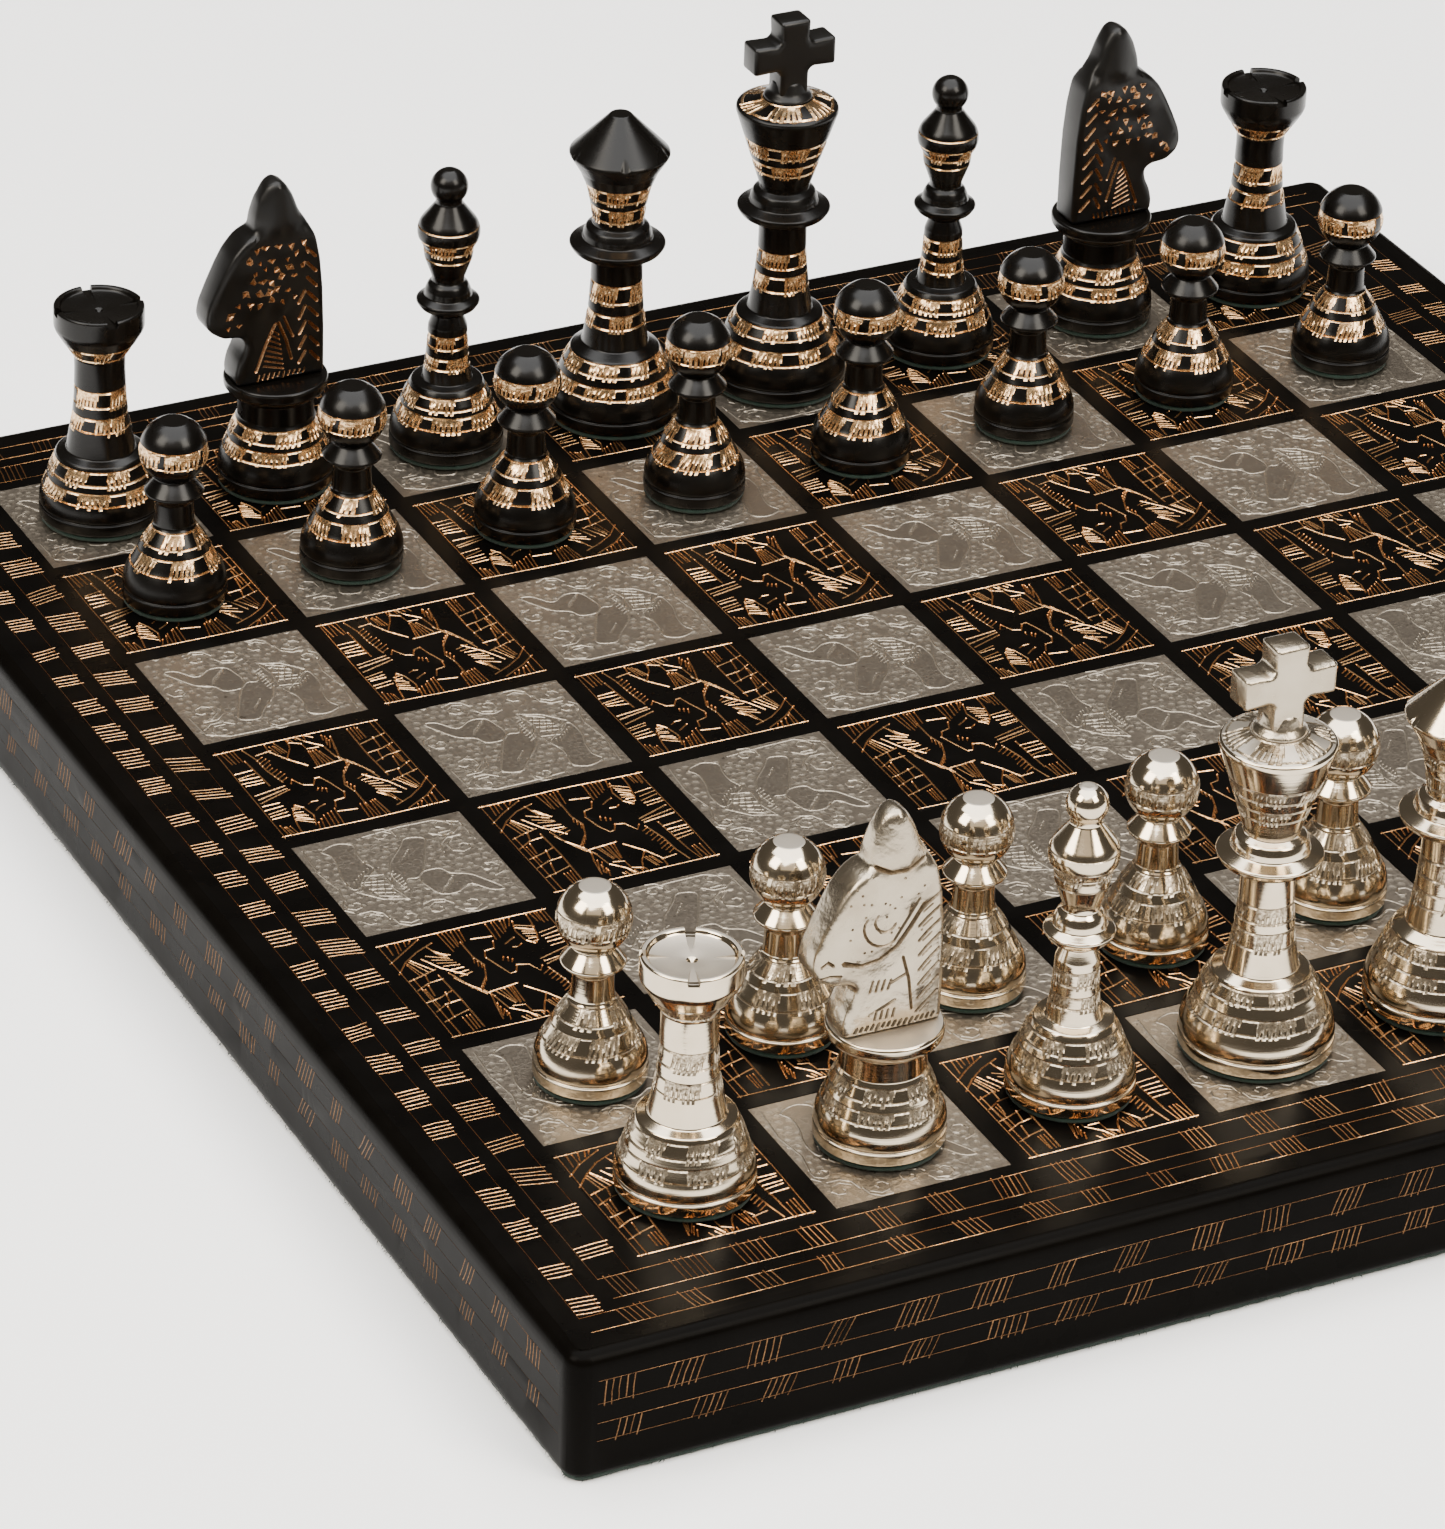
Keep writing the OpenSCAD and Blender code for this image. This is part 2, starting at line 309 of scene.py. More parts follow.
def rounded(line, r, closed=False, least=10):
    """The line with each corner rounded off, starting r before it or less on a short side.

    Corners that bend less than least degrees stay as they are."""
    steps = 3
    points = [np.array(p, float) for p in line]
    count = len(points)
    made = []
    for i, p in enumerate(points):
        if not closed and i in (0, count - 1):
            made.append(p)
            continue
        before, after = points[i - 1] - p, points[(i + 1) % count] - p
        n0, n1 = np.linalg.norm(before), np.linalg.norm(after)
        bend = math.degrees(math.acos(np.clip(-(before @ after) / (n0 * n1), -1, 1)))
        if bend < least:
            made.append(p)
            continue
        a = p + before / n0 * min(r, 0.42 * n0)
        b = p + after / n1 * min(r, 0.42 * n1)
        for k in range(steps + 1):
            t = k / steps
            made.append((1 - t) ** 2 * a + 2 * t * (1 - t) * p + t ** 2 * b)
    return np.array(made)


# ---- turned metal ----

# A turned body is a grid of narrow columns with rows at its rings and bands, in millimetres.
COLUMN_W = 0.18
RING_HALF = 0.25
RING_DEPTH = 0.16
CUT_DEPTH = 0.15
OVERSHOOT = 0.45
BAND_ROWS = 5
LEAST_STEP = 0.03
COMB_SHARE = 0.66
# Corners of the profile are marked for rubbed wear and a painted edge highlight where they turn by more than
# the first of these angles.
WEAR_AND_HIGHLIGHT_FROM = 14
WEAR_AND_HIGHLIGHT_OVER = 40
# On a light man the level faces this near its top are brushed.
BRUSHED_DEPTH = 2.6


def profile_rows(s, ring_s, band_s, lines_s):
    """Where along its profile a turned solid has rows: at its rings, bands, lines and corners."""
    rows = [v + d for v in ring_s for d in (-RING_HALF, 0, RING_HALF)]
    extra = []
    for s0, s1 in band_s:
        extra.append(s0 - RING_HALF - OVERSHOOT)
        extra += list(np.linspace(s0 + RING_HALF, s1 - RING_HALF, BAND_ROWS))
    for v in [*extra, *lines_s, *s[1:-1]]:
        if min([abs(v - q) for q in rows], default=9) > LEAST_STEP:
            rows.append(v)
    return np.array(sorted(rows))


def profile_tangents(line, s, rows):
    """The direction of a profile at each row."""
    step = 0.05
    ahead, behind = ([np.interp(rows + d, s, line[:, axis]) for axis in (0, 1)] for d in (step, -step))
    tangent = np.column_stack(ahead) - np.column_stack(behind)
    return tangent / np.maximum(np.linalg.norm(tangent, axis=1), 1e-9)[:, None]


def hatch_band(depth, rows, s0, s1, mid_r, blocks, count, spacing, pick):
    """Cuts the blocks of one band: comb-like slits below that join into solid cuts above.

    Returns how far each column leans at each row, as an angle."""
    columns = depth.shape[1]
    within = (rows > s0 - RING_HALF - 1e-6) & (rows < s1 + 1e-6)
    step = max(3, round(spacing / (2 * math.pi * mid_r / columns)))
    wide = max(2, round(step * COMB_SHARE))
    start = pick.uniform(0, columns / blocks)
    leans = [pick.gauss(0.14, 0.12) for _ in range(blocks)]
    centres = [start + columns / blocks * i for i in range(blocks)]
    round_again = [c + k * columns for k in (-1, 0, 1) for c in centres]
    lean = np.interp(np.arange(columns), round_again, leans * 3)
    band_rows = (rows > s0 - RING_HALF - OVERSHOOT - 0.1) & (rows < s1 + RING_HALF + 0.1)
    slant = np.where(band_rows[:, None], (rows - (s0 + s1) / 2)[:, None] * lean[None, :] / mid_r, 0)
    for i in range(blocks):
        number = count + pick.choice([-1, 0, 0, 1])
        first = round(centres[i] - number * step / 2)
        for k in range(number):
            reach = within.copy()
            if pick.random() < 0.3:
                reach &= rows > s0 + RING_HALF * 0.5
            narrow = [(first + k * step + j) % columns for j in range(1, wide)]
            full = [(first + k * step + j) % columns for j in range(step)]
            joined_above = s0 + (s1 - s0) * pick.uniform(0.35, 0.7)
            deep = CUT_DEPTH * pick.uniform(0.8, 1.25)
            for n in np.flatnonzero(reach):
                value = deep * pick.uniform(0.7, 1.15)
                for j in (full if rows[n] > joined_above else narrow):
                    depth[n, j] = max(depth[n, j], value)
    return slant


def turned(name, line, rings, bands, materials, seed, shape=None, lines=(), foot_r=None):
    """A turned solid with ring lines cut at the heights in rings, and hatching cut between the
    heights of each band: (low, high, blocks round, strokes in a block, stroke spacing)."""
    pick = random.Random(seed)
    line = np.asarray(line, float)
    s = np.concatenate([[0], np.cumsum(np.linalg.norm(np.diff(line, axis=0), axis=1))])
    top = int(line[:, 1].argmax())
    columns = int(2 * math.pi * (foot_r or line[:, 0].max()) / COLUMN_W)

    def along(z):
        return float(np.interp(z, line[:top + 1, 1], s[:top + 1]))

    ring_s = sorted(along(z) for z in rings)
    band_s = [(along(low), along(high)) for low, high, *_ in bands]
    rows = profile_rows(s, ring_s, band_s, [along(z) for z in lines])
    r = np.interp(rows, s, line[:, 0])
    z = np.interp(rows, s, line[:, 1])
    tangent = profile_tangents(line, s, rows)
    normal = np.column_stack([tangent[:, 1], -tangent[:, 0]])
    depth = np.zeros((len(rows), columns))
    slant = np.zeros((len(rows), columns))
    for v in ring_s:
        depth[np.abs(rows - v) < 1e-6] = RING_DEPTH
    for (s0, s1), (_, _, blocks, count, spacing) in zip(band_s, bands):
        mid_r = np.interp((s0 + s1) / 2, s, line[:, 0])
        slant += hatch_band(depth, rows, s0, s1, mid_r, blocks, count, spacing, pick)
    theta = 2 * math.pi * np.arange(columns) / columns + slant
    radius = r[:, None] - normal[:, :1] * depth
    height = z[:, None] - normal[:, 1:] * depth
    grid = np.stack([radius * np.cos(theta), radius * np.sin(theta), height], axis=-1)
    if shape is not None:
        grid = shape(grid, rows, r, z, theta, normal)
    points = np.concatenate([[[0, 0, line[0, 1]]], grid.reshape(-1, 3), [[0, 0, line[-1, 1]]]])
    quads, under, over = round_faces(len(rows), columns)
    mean = (depth[:-1] + depth[1:] + np.roll(depth[:-1], -1, 1) + np.roll(depth[1:], -1, 1)).ravel() / 4
    turn_in = np.abs(np.diff(np.degrees(np.unwrap(np.arctan2(tangent[:, 1], tangent[:, 0]))), prepend=0))
    # Sharp turns of the profile, away from the cuts, get a lighter colour: rubbed wear and a painted edge
    # highlight.
    edge_wear_and_highlight = np.clip((turn_in - WEAR_AND_HIGHLIGHT_FROM) / WEAR_AND_HIGHLIGHT_OVER, 0, 1) * (depth.max(axis=1) < 0.01)
    wear = np.concatenate([[0], np.repeat(edge_wear_and_highlight, columns), [0]])
    cut = (mean > 0.02).astype(int)
    brushed = 2 if len(materials) > 2 else 0
    level = (normal[:-1, 1] > 0.9) & (normal[1:, 1] > 0.9) & (z[:-1] > z.max() - BRUSHED_DEPTH)
    cut[np.repeat(level, columns) & (cut == 0)] = brushed
    return build_mesh(name, points, [(quads, cut), (under, 0), (over, brushed)], materials, 26, wear)


def base_line(b, k, h, felt_t=1.0, foot_h=3.1, groove=0.35):
    """Foot, turned groove, round bell and the two sloping band seats of every man."""
    bell_z = foot_h + 0.6
    bell = [(b - 0.05 - (1.15 * k - 0.05) * t * t, bell_z + (7.6 * h - bell_z) * t)
            for t in [i / 10 for i in range(1, 11)]]
    return [
        (0, felt_t), (b - 0.3, felt_t), (b, felt_t + 0.3), (b, foot_h),
        (b - groove, foot_h + 0.15), (b - groove, foot_h + 0.45), (b - 0.05, bell_z),
        *bell,
        (b - 2.0 * k, 9.7 * h), (b - 2.6 * k, 11.2 * h), (b - 3.6 * k, 13.1 * h), (b - 4.0 * k, 13.8 * h),
    ]


def collar_line(z, r, s, n):
    """Stepped ring and thin collar round a stem."""
    return [(r - 3.0, z - 2.6), (r - 0.7, z - 1.1), (r, z), (r - 0.1, z + 0.4), (s + 0.1, z + 1.1),
            (s, z + 2.2), (s - 0.5, z + 3.4), (n, z + 4.0)]


def pawn_line(b, h):
    return [
        *base_line(b, 1.4, 1.1),
        (3.4, 16.6), (3.3, h - 15.2), (4.0, h - 14.2), (5.1, h - 13.7), (5.25, h - 13.2), (3.9, h - 11.6),
        (3.3, h - 10.9), *arc((0, h - 5.6), 6.0, -57, 66.5, 40), (0, h - 0.1),
    ]


def rook_line(b, h):
    return [
        *base_line(b, 0.8, 0.95),
        (6.1, 13.6), (5.3, 18.4), (4.9, 20.6), (4.6, 24.0), (4.45, h - 12.0), (4.5, h - 9.6), (5.0, h - 8.8),
        (6.3, h - 6.8), (7.7, h - 4.4), (7.95, h - 3.6), (7.95, h - 0.3), (7.7, h), (6.9, h), (6.6, h - 0.7),
        (3.4, h - 1.0), (0.8, h - 1.15), (0.35, h - 1.6), (0, h - 1.7),
    ]


def knight_line(b, collar_z):
    return [
        *base_line(b, 0.9, 1.0),
        (6.8, 14.0), (6.8, 17.6), (8.6, 18.8), (9.2, 19.6), (9.3, collar_z - 0.4), (9.0, collar_z),
        (0, collar_z),
    ]


def bishop_line(b, h):
    return [
        *base_line(b, 1.0, 1.0),
        (4.5, 14.0), (4.0, 17.3), (3.75, 20.0), (3.5, 24.5), *collar_line(h - 25.6, 5.7, 4.1, 2.9),
        (3.0, h - 20.6), (4.3, h - 17.0), *arc((1.6, h - 11.9), 4.0, -42, 38, 16), (2.4, h - 6.4),
        *arc((0, h - 3.3), 3.35, -42, 74, 24), (0, h - 0.1),
    ]


def queen_line(b, h):
    return [
        *base_line(b, 1.0, 1.0),
        (6.0, 14.9), (5.4, 19.1), (5.0, 22.0), (4.7, 26.8), (4.6, 31.4),
        *collar_line(h - 25.3, 8.7, 6.2, 4.55),
        (5.1, h - 17.3), (5.8, h - 14.0), (7.1, h - 10.8), (8.95, h - 7.8), (9.1, h - 7.3), (8.6, h - 6.8),
        (2.2, h - 0.3), (1.9, h), (0, h),
    ]


def king_line(b, h):
    return [
        *base_line(b, 1.15, 1.05),
        (5.9, 15.1), (5.1, 20.0), (4.65, 24.2), (4.4, 27.4), (4.35, 32.4),
        *collar_line(h - 21.7, 8.5, 6.1, 4.4),
        (9.3, h - 2.4), (9.2, h - 1.7), (8.7, h - 1.5), (4.6, h), (0, h),
    ]


# Heights of the ring lines and of the hatched bands above the square, low and high, with how
# many blocks go round and how many strokes each has. Heights under 0 are down from the top.
BASE_SPACING = 0.9
STEM_SPACING = 0.72
MEN = {
    "pawn": {
        "line": pawn_line,
        "rings": [8.0, 10.6, 12.2, 14.5, -6.9, -4.0],
        "bands": [(8.0, 10.6, 6, 6, BASE_SPACING), (12.2, 14.5, 5, 4, BASE_SPACING),
                  (-6.9, -4.0, 5, 7, BASE_SPACING)],
    },
    "rook": {
        "line": rook_line,
        "rings": [6.6, 8.6, 10.1, 12.3, 18.5, 20.9, 23.2, 26.0, 32.3, 34.5],
        "bands": [(6.6, 8.6, 7, 6, BASE_SPACING), (10.1, 12.3, 7, 5, BASE_SPACING),
                  (18.5, 20.9, 4, 7, STEM_SPACING), (23.2, 26.0, 4, 7, STEM_SPACING),
                  (32.3, 34.5, 6, 5, STEM_SPACING)],
    },
    "knight": {
        "line": knight_line,
        "rings": [7.6, 9.5, 11.0, 12.9],
        "bands": [(7.6, 9.5, 7, 6, BASE_SPACING), (11.0, 12.9, 7, 5, BASE_SPACING)],
    },
    "bishop": {
        "line": bishop_line,
        "rings": [7.3, 9.4, 10.7, 12.6, 16.9, 18.8, 20.8, 23.0, 38.0, 39.7, 41.8, 44.2],
        "bands": [(7.3, 9.4, 7, 6, BASE_SPACING), (10.7, 12.6, 6, 5, BASE_SPACING),
                  (16.9, 18.8, 4, 6, STEM_SPACING), (20.8, 23.0, 4, 6, STEM_SPACING),
                  (39.7, 41.8, 5, 6, STEM_SPACING)],
    },
    "queen": {
        "line": queen_line,
        "rings": [7.6, 9.5, 11.4, 13.4, 19.1, 21.5, 24.1, 27.2, 40.0, 42.4, 44.2, 46.5],
        "bands": [(7.6, 9.5, 8, 6, BASE_SPACING), (11.4, 13.4, 8, 5, BASE_SPACING),
                  (19.1, 21.5, 4, 7, STEM_SPACING), (24.1, 27.2, 4, 7, STEM_SPACING),
                  (40.0, 42.4, 5, 6, STEM_SPACING), (44.2, 46.5, 6, 6, STEM_SPACING)],
    },
    "king": {
        "line": king_line,
        "rings": [8.0, 10.2, 12.2, 14.0, 20.0, 22.7, 24.5, 27.1, 43.4, 45.4, 47.4, 49.6, 55.7, 56.95],
        "bands": [(8.0, 10.2, 8, 6, BASE_SPACING), (12.2, 14.0, 8, 5, BASE_SPACING),
                  (20.0, 22.7, 4, 7, STEM_SPACING), (24.5, 27.1, 4, 7, STEM_SPACING),
                  (43.4, 45.4, 5, 7, STEM_SPACING), (47.4, 49.6, 6, 7, STEM_SPACING),
                  (55.7, 56.95, 6, 5, 0.9)],
    },
}


# ---- materials ----

class Look:
    """A new material, with short ways to make, set and join its shader nodes."""

    def __init__(self, name):
        self.made = bpy.data.materials.new(name)
        self.made.use_nodes = True
        self.tree = self.made.node_tree
        self.shader = self.tree.nodes["Principled BSDF"]
        self.at = self.node("TexCoord", {}).outputs["Object"]
        self.normal = None

    def give(self, socket, value):
        """Sets a socket to a number, a vector or a colour, or links a node's output to it."""
        if isinstance(value, bpy.types.NodeSocket):
            self.tree.links.new(value, socket)
        elif socket.type == "RGBA":
            socket.default_value = (*value, 1)
        else:
            socket.default_value = value

    def put(self, name, value):
        self.give(self.shader.inputs[name], value)

    def node(self, kind, inputs, **settings):
        made = self.tree.nodes.new("ShaderNode" + kind)
        for name, value in settings.items():
            setattr(made, name, value)
        for name, value in inputs.items():
            self.give(made.inputs[name], value)
        return made

    def noise(self, scale, detail=4.0, roughness=0.55, vector=None):
        inputs = {"Scale": scale, "Detail": detail, "Roughness": roughness, "Vector": vector or self.at}
        return self.node("TexNoise", inputs).outputs["Fac"]

    def ramp(self, value, low, high):
        """A grey that follows a value: low and high are (place, grey)."""
        made = self.node("ValToRGB", {"Fac": value})
        for element, (at, grey) in zip(made.color_ramp.elements, (low, high)):
            element.position = at
            element.color = (grey, grey, grey, 1)
        return made.outputs["Color"]

    def times(self, a, b):
        return self.node("Math", {0: a, 1: b}, operation="MULTIPLY").outputs[0]

    def mixed(self, share, a, b):
        return self.node("Mix", {"Factor": share, "A": a, "B": b}, data_type="RGBA").outputs["Result"]

    def bump(self, height, strength, distance):
        """A bump on top of those that the material has already."""
        inputs = {"Strength": strength, "Distance": distance, "Height": height}
        if self.normal:
            inputs["Normal"] = self.normal
        self.normal = self.node("Bump", inputs).outputs["Normal"]
        self.put("Normal", self.normal)

    def stretched(self, scale):
        return self.node("VectorMath", {0: self.at, 1: scale}, operation="MULTIPLY").outputs[0]

    # Reads the corner mark: where rubbed wear and a painted edge highlight lighten the colour.
    def wear(self):
        return self.node("Attribute", {}, attribute_name="wear").outputs["Fac"]

    def turned_rings(self, scale):
        """Noise that changes only with the radius and the height, as a lathe's tool marks do."""
        height = self.node("SeparateXYZ", {0: self.at}).outputs["Z"]
        flat = self.stretched((1, 1, 0))
        radius = self.node("VectorMath", {0: flat}, operation="LENGTH").outputs["Value"]
        joined = self.node("CombineXYZ", {0: radius, 2: height}).outputs[0]
        return self.noise(scale, 2.0, 0.6, joined)

    def lace(self, scale, line):
        """Thin lines round small bubbles: 1 on the lines and 0 between them."""
        warp = self.node("TexNoise", {"Scale": scale * 0.5, "Vector": self.at}).outputs["Color"]
        push = 0.9 / scale
        moved = self.node("VectorMath", {0: warp, 1: (push, push, push), 2: self.at},
                          operation="MULTIPLY_ADD").outputs[0]
        cells = self.node("TexVoronoi", {"Scale": scale, "Vector": moved}, feature="DISTANCE_TO_EDGE")
        return self.ramp(cells.outputs["Distance"], (line * 0.4, 1.0), (line, 0.0))


def lacquer(name, turned_marks=True, base=(0.0011, 0.0009, 0.0007), high=(0.0030, 0.0024, 0.0018),
            rough=(0.20, 0.33), specular=0.22):
    """Black lacquer over brass: soft gloss, faint tool marks, smudges, and lighter worn edges that are part
    rubbed wear and part painted highlight.
    """
    look = Look(name)
    cloud = look.noise(90.0)
    fine = look.noise(900.0, 3.0)
    colour = look.mixed(cloud, base, high)
    # Worn corners go a lighter brown: rubbed wear and a painted edge highlight.
    rubbed_and_highlight = look.times(look.wear(), look.ramp(fine, (0.46, 0.0), (0.66, 1.0)))
    look.put("Base Color", look.mixed(look.times(rubbed_and_highlight, 0.3), colour, (0.07, 0.055, 0.042)))
    look.put("Roughness", look.ramp(cloud, (0.3, rough[0]), (0.75, rough[1])))
    look.put("Specular IOR Level", specular)
    look.bump(fine, 0.12, 0.00006)
    if turned_marks:
        look.bump(look.turned_rings(2600.0), 0.12, 0.00004)
    return look.made


def nickel(name, clean, tarnished, turned_marks=True, rough=(0.09, 0.20)):
    """Polished nickel on brass: warm white metal with tool marks, a little tarnish, and corners painted a
    paler cream as part rubbed wear and part painted highlight.
    """
    look = Look(name)
    cloud = look.noise(120.0)
    fine = look.noise(1400.0, 3.0)
    colour = look.mixed(look.ramp(cloud, (0.35, 0.0), (0.8, 0.6)), clean, tarnished)
    # Worn corners go a pale cream: rubbed wear and a painted edge highlight.
    look.put("Base Color", look.mixed(look.times(look.wear(), 0.35), colour, (0.84, 0.76, 0.64)))
    look.put("Metallic", 1.0)
    look.put("Roughness", look.ramp(cloud, (0.3, rough[0]), (0.8, rough[1])))
    look.bump(fine, 0.06, 0.00005)
    if turned_marks:
        look.bump(look.turned_rings(2200.0), 0.22, 0.00006)
    else:
        look.bump(look.noise(300.0, 3.0), 0.5, 0.0005)
    return look.made


def cut_metal(name, bright, deep, rough=0.24):
    """Bare metal in a cut: small facets, darker where the tool left a burr."""
    look = Look(name)
    chips = look.noise(2200.0, 2.0)
    look.put("Base Color", look.mixed(look.ramp(chips, (0.35, 0.0), (0.72, 1.0)), bright, deep))
    look.put("Metallic", 1.0)
    look.put("Roughness", look.ramp(chips, (0.3, rough), (0.8, rough + 0.16)))
    look.bump(chips, 0.35, 0.00008)
    return look.made


def etched_nickel(name, ground, high, lines, amount):
    """Nickel sheet etched with a lace of bubbles, browner in its hollows and pitted here and there."""
    look = Look(name)
    cloud = look.noise(60.0)
    grain = look.noise(1700.0, 5.0, 0.7)
    worm = look.noise(480.0, 4.0, 0.6)
    colour = look.mixed(cloud, ground, high)
    colour = look.mixed(look.ramp(grain, (0.38, 0.22), (0.60, 0.0)), colour, (0.12, 0.10, 0.08))
    bubbles = look.lace(760.0, 0.13)
    shown = look.times(bubbles, look.ramp(look.noise(190.0, 2.0), (0.38, 0.0), (0.56, amount)))
    colour = look.mixed(shown, colour, lines)
    specks = look.ramp(look.noise(700.0, 2.0), (0.24, 1.0), (0.3, 0.0))
    look.put("Base Color", look.mixed(specks, colour, (0.10, 0.08, 0.06)))
    look.put("Metallic", 1.0)
    look.put("Roughness", look.ramp(grain, (0.3, 0.32), (0.75, 0.48)))
    look.bump(grain, 0.3, 0.00006)
    look.bump(worm, 0.35, 0.00012)
    look.bump(shown, 0.4, 0.0001)
    return look.made


def felt(name):
    look = Look(name)
    fibres = look.noise(2600.0, 6.0, 0.75, look.stretched((1, 1, 3)))
    patches = look.noise(160.0)
    colour = look.mixed(fibres, (0.0015, 0.009, 0.0055), (0.005, 0.030, 0.018))
    colour = look.mixed(look.ramp(patches, (0.4, 0.0), (0.8, 0.35)), colour, (0.010, 0.034, 0.022))
    look.put("Base Color", colour)
    look.put("Roughness", 0.95)
    look.put("Sheen Weight", 0.1)
    look.put("Sheen Roughness", 0.5)
    look.bump(fibres, 0.9, 0.0004)
    return look.made


def fibreboard(name):
    look = Look(name)
    layers = look.noise(260.0, 5.0, vector=look.stretched((1, 1, 12)))
    look.put("Base Color", look.mixed(layers, (0.21, 0.13, 0.07), (0.40, 0.28, 0.16)))
    look.put("Roughness", 0.85)
    look.bump(layers, 0.5, 0.0003)
    return look.made


LACQUER = lacquer("lacquer")
CAST_LACQUER = lacquer("cast_lacquer", False, rough=(0.28, 0.44), specular=0.28)
BOARD_LACQUER = lacquer("board_lacquer", False, (0.0008, 0.0007, 0.0006), (0.0020, 0.0016, 0.0013),
                        (0.24, 0.36), 0.06)
SKIRT_LACQUER = lacquer("skirt_lacquer", False, (0.0012, 0.0010, 0.0008), (0.0026, 0.0021, 0.0016),
                        (0.24, 0.36), 0.018)
NICKEL = nickel("nickel", (0.64, 0.545, 0.41), (0.44, 0.35, 0.23))
CAST_NICKEL = nickel("cast_nickel", (0.42, 0.36, 0.275), (0.27, 0.215, 0.145), False, (0.22, 0.34))
NICKEL_FACE = nickel("nickel_face", (0.53, 0.475, 0.40), (0.44, 0.38, 0.295), True, (0.42, 0.52))
COPPER_CUT = cut_metal("copper_cut", (0.92, 0.66, 0.38), (0.46, 0.24, 0.10), 0.18)
HEAD_CUT = cut_metal("head_cut", (0.44, 0.255, 0.13), (0.18, 0.085, 0.04))
BOARD_CUT = cut_metal("board_cut", (0.72, 0.43, 0.205), (0.30, 0.145, 0.06), 0.22)
TRACK_CUT = cut_metal("track_cut", (0.48, 0.275, 0.13), (0.22, 0.105, 0.045))
# The side band's cuts are the same brass as the top tracks, painted about three times darker: painted shade
# on the vertical sides.
SHADED_SKIRT_CUT = cut_metal("skirt_cut_painted_shade", (0.17, 0.092, 0.043), (0.08, 0.038, 0.018))
NICKEL_CUT = cut_metal("nickel_cut", (0.52, 0.44, 0.33), (0.13, 0.095, 0.057))
CAST_CUT = cut_metal("cast_cut", (0.27, 0.215, 0.15), (0.13, 0.098, 0.062), 0.3)
ETCHED = etched_nickel("etched_nickel", (0.215, 0.180, 0.141), (0.262, 0.224, 0.178),
                       (0.36, 0.315, 0.25), 0.42)
ETCHED_FORM = etched_nickel("etched_form", (0.178, 0.149, 0.116), (0.228, 0.195, 0.156),
                            (0.27, 0.23, 0.18), 0.3)
ETCHED_CUT = cut_metal("etched_cut", (0.335, 0.29, 0.23), (0.20, 0.168, 0.13), 0.36)
FELT = felt("green_felt")
CORE = fibreboard("fibreboard")
METALS = {"light": [NICKEL, NICKEL_CUT, NICKEL_FACE], "dark": [LACQUER, COPPER_CUT]}
CAST_METALS = {"light": [CAST_NICKEL, CAST_CUT], "dark": [CAST_LACQUER, HEAD_CUT]}


# ---- men ----

def rook_notches(top_z, depth, turn):
    """Sinks four notches through the rim of the battlement."""
    notch_w = 1.7
    floor = top_z - depth

    def shape(grid, rows, r, z, theta, normal):
        rim = np.flatnonzero((z > floor - 1e-6) & (r > 6.0))
        for side in range(4):
            a = math.radians(turn + 90 * side)
            away = np.abs((theta[0] - a + math.pi) % (2 * math.pi) - math.pi)
            for j in np.flatnonzero(away * 7.4 < notch_w / 2):
                spread = np.linspace(r[rim[0]], r[rim[-1]], len(rim))
                for n, i in enumerate(rim):
                    grid[i, j, 0] = spread[n] * math.cos(theta[i, j])
                    grid[i, j, 1] = spread[n] * math.sin(theta[i, j])
                    grid[i, j, 2] = floor
        return grid

    return shape


def crown_grooves(top_z, turn):
    """Files five round grooves down the cone of a queen's crown."""
    groove_r = 1.6
    lean = math.radians(54)

    def shape(grid, rows, r, z, theta, normal):
        cap = np.flatnonzero((z > top_z - 12.5) & (r > 1.0))
        for side in range(5):
            a = math.radians(turn + 72 * side)
            out = np.array([math.cos(a), math.sin(a), 0])
            start = 5.7 * out + np.array([0, 0, top_z - 0.5])
            axis = math.cos(lean) * out - math.sin(lean) * np.array([0, 0, 1])
            for i in cap:
                p = grid[i]
                inward = -np.column_stack([normal[i, 0] * np.cos(theta[i]), normal[i, 0] * np.sin(theta[i]),
                                           np.full(len(p), normal[i, 1])])
                rel = p - start
                flat = rel - np.outer(rel @ axis, axis)
                step = inward - np.outer(inward @ axis, axis)
                hit = (np.linalg.norm(flat, axis=1) < groove_r) & (rel @ out > -1)
                qa = (step ** 2).sum(1)
                qb = (flat * step).sum(1)
                qc = (flat ** 2).sum(1) - groove_r ** 2
                far = (-qb + np.sqrt(np.maximum(qb ** 2 - qa * qc, 0))) / np.maximum(qa, 1e-6)
                hit &= far < 3.0
                grid[i][hit] += inward[hit] * far[hit, None]
        return grid

    return shape


def felt_disc(name, r, thick, seed):
    """A disc of felt with a soft, slightly ragged edge."""
    pick = random.Random(seed)
    columns = 120
    theta = np.linspace(0, 2 * math.pi, columns, endpoint=False)
    ragged = np.array([pick.gauss(0, 0.06) for _ in range(columns)])
    ragged = ragged + 0.25 * np.roll(ragged, 1) + 0.1 * np.sin(3 * theta + pick.random())
    rows = [(r * 0.97, 0.02, 0.0), (r, 0.12, 0.6), (r + 0.16, thick * 0.5, 1.0), (r, thick - 0.1, 0.6),
            (r * 0.97, thick, 0.0)]
    points = [np.array([[0, 0, 0.02]])]
    for radius, z, share in rows:
        rr = np.minimum(radius + ragged * share, r + 0.38)
        points.append(np.column_stack([rr * np.cos(theta), rr * np.sin(theta), np.full(columns, z)]))
    points.append(np.array([[0, 0, thick]]))
    groups = [(faces, 0) for faces in round_faces(len(rows), columns)]
    return build_mesh(name, np.concatenate(points), groups, [FELT], 80)


# ---- cast metal: a flat shape with rounded edges, cut on both faces ----

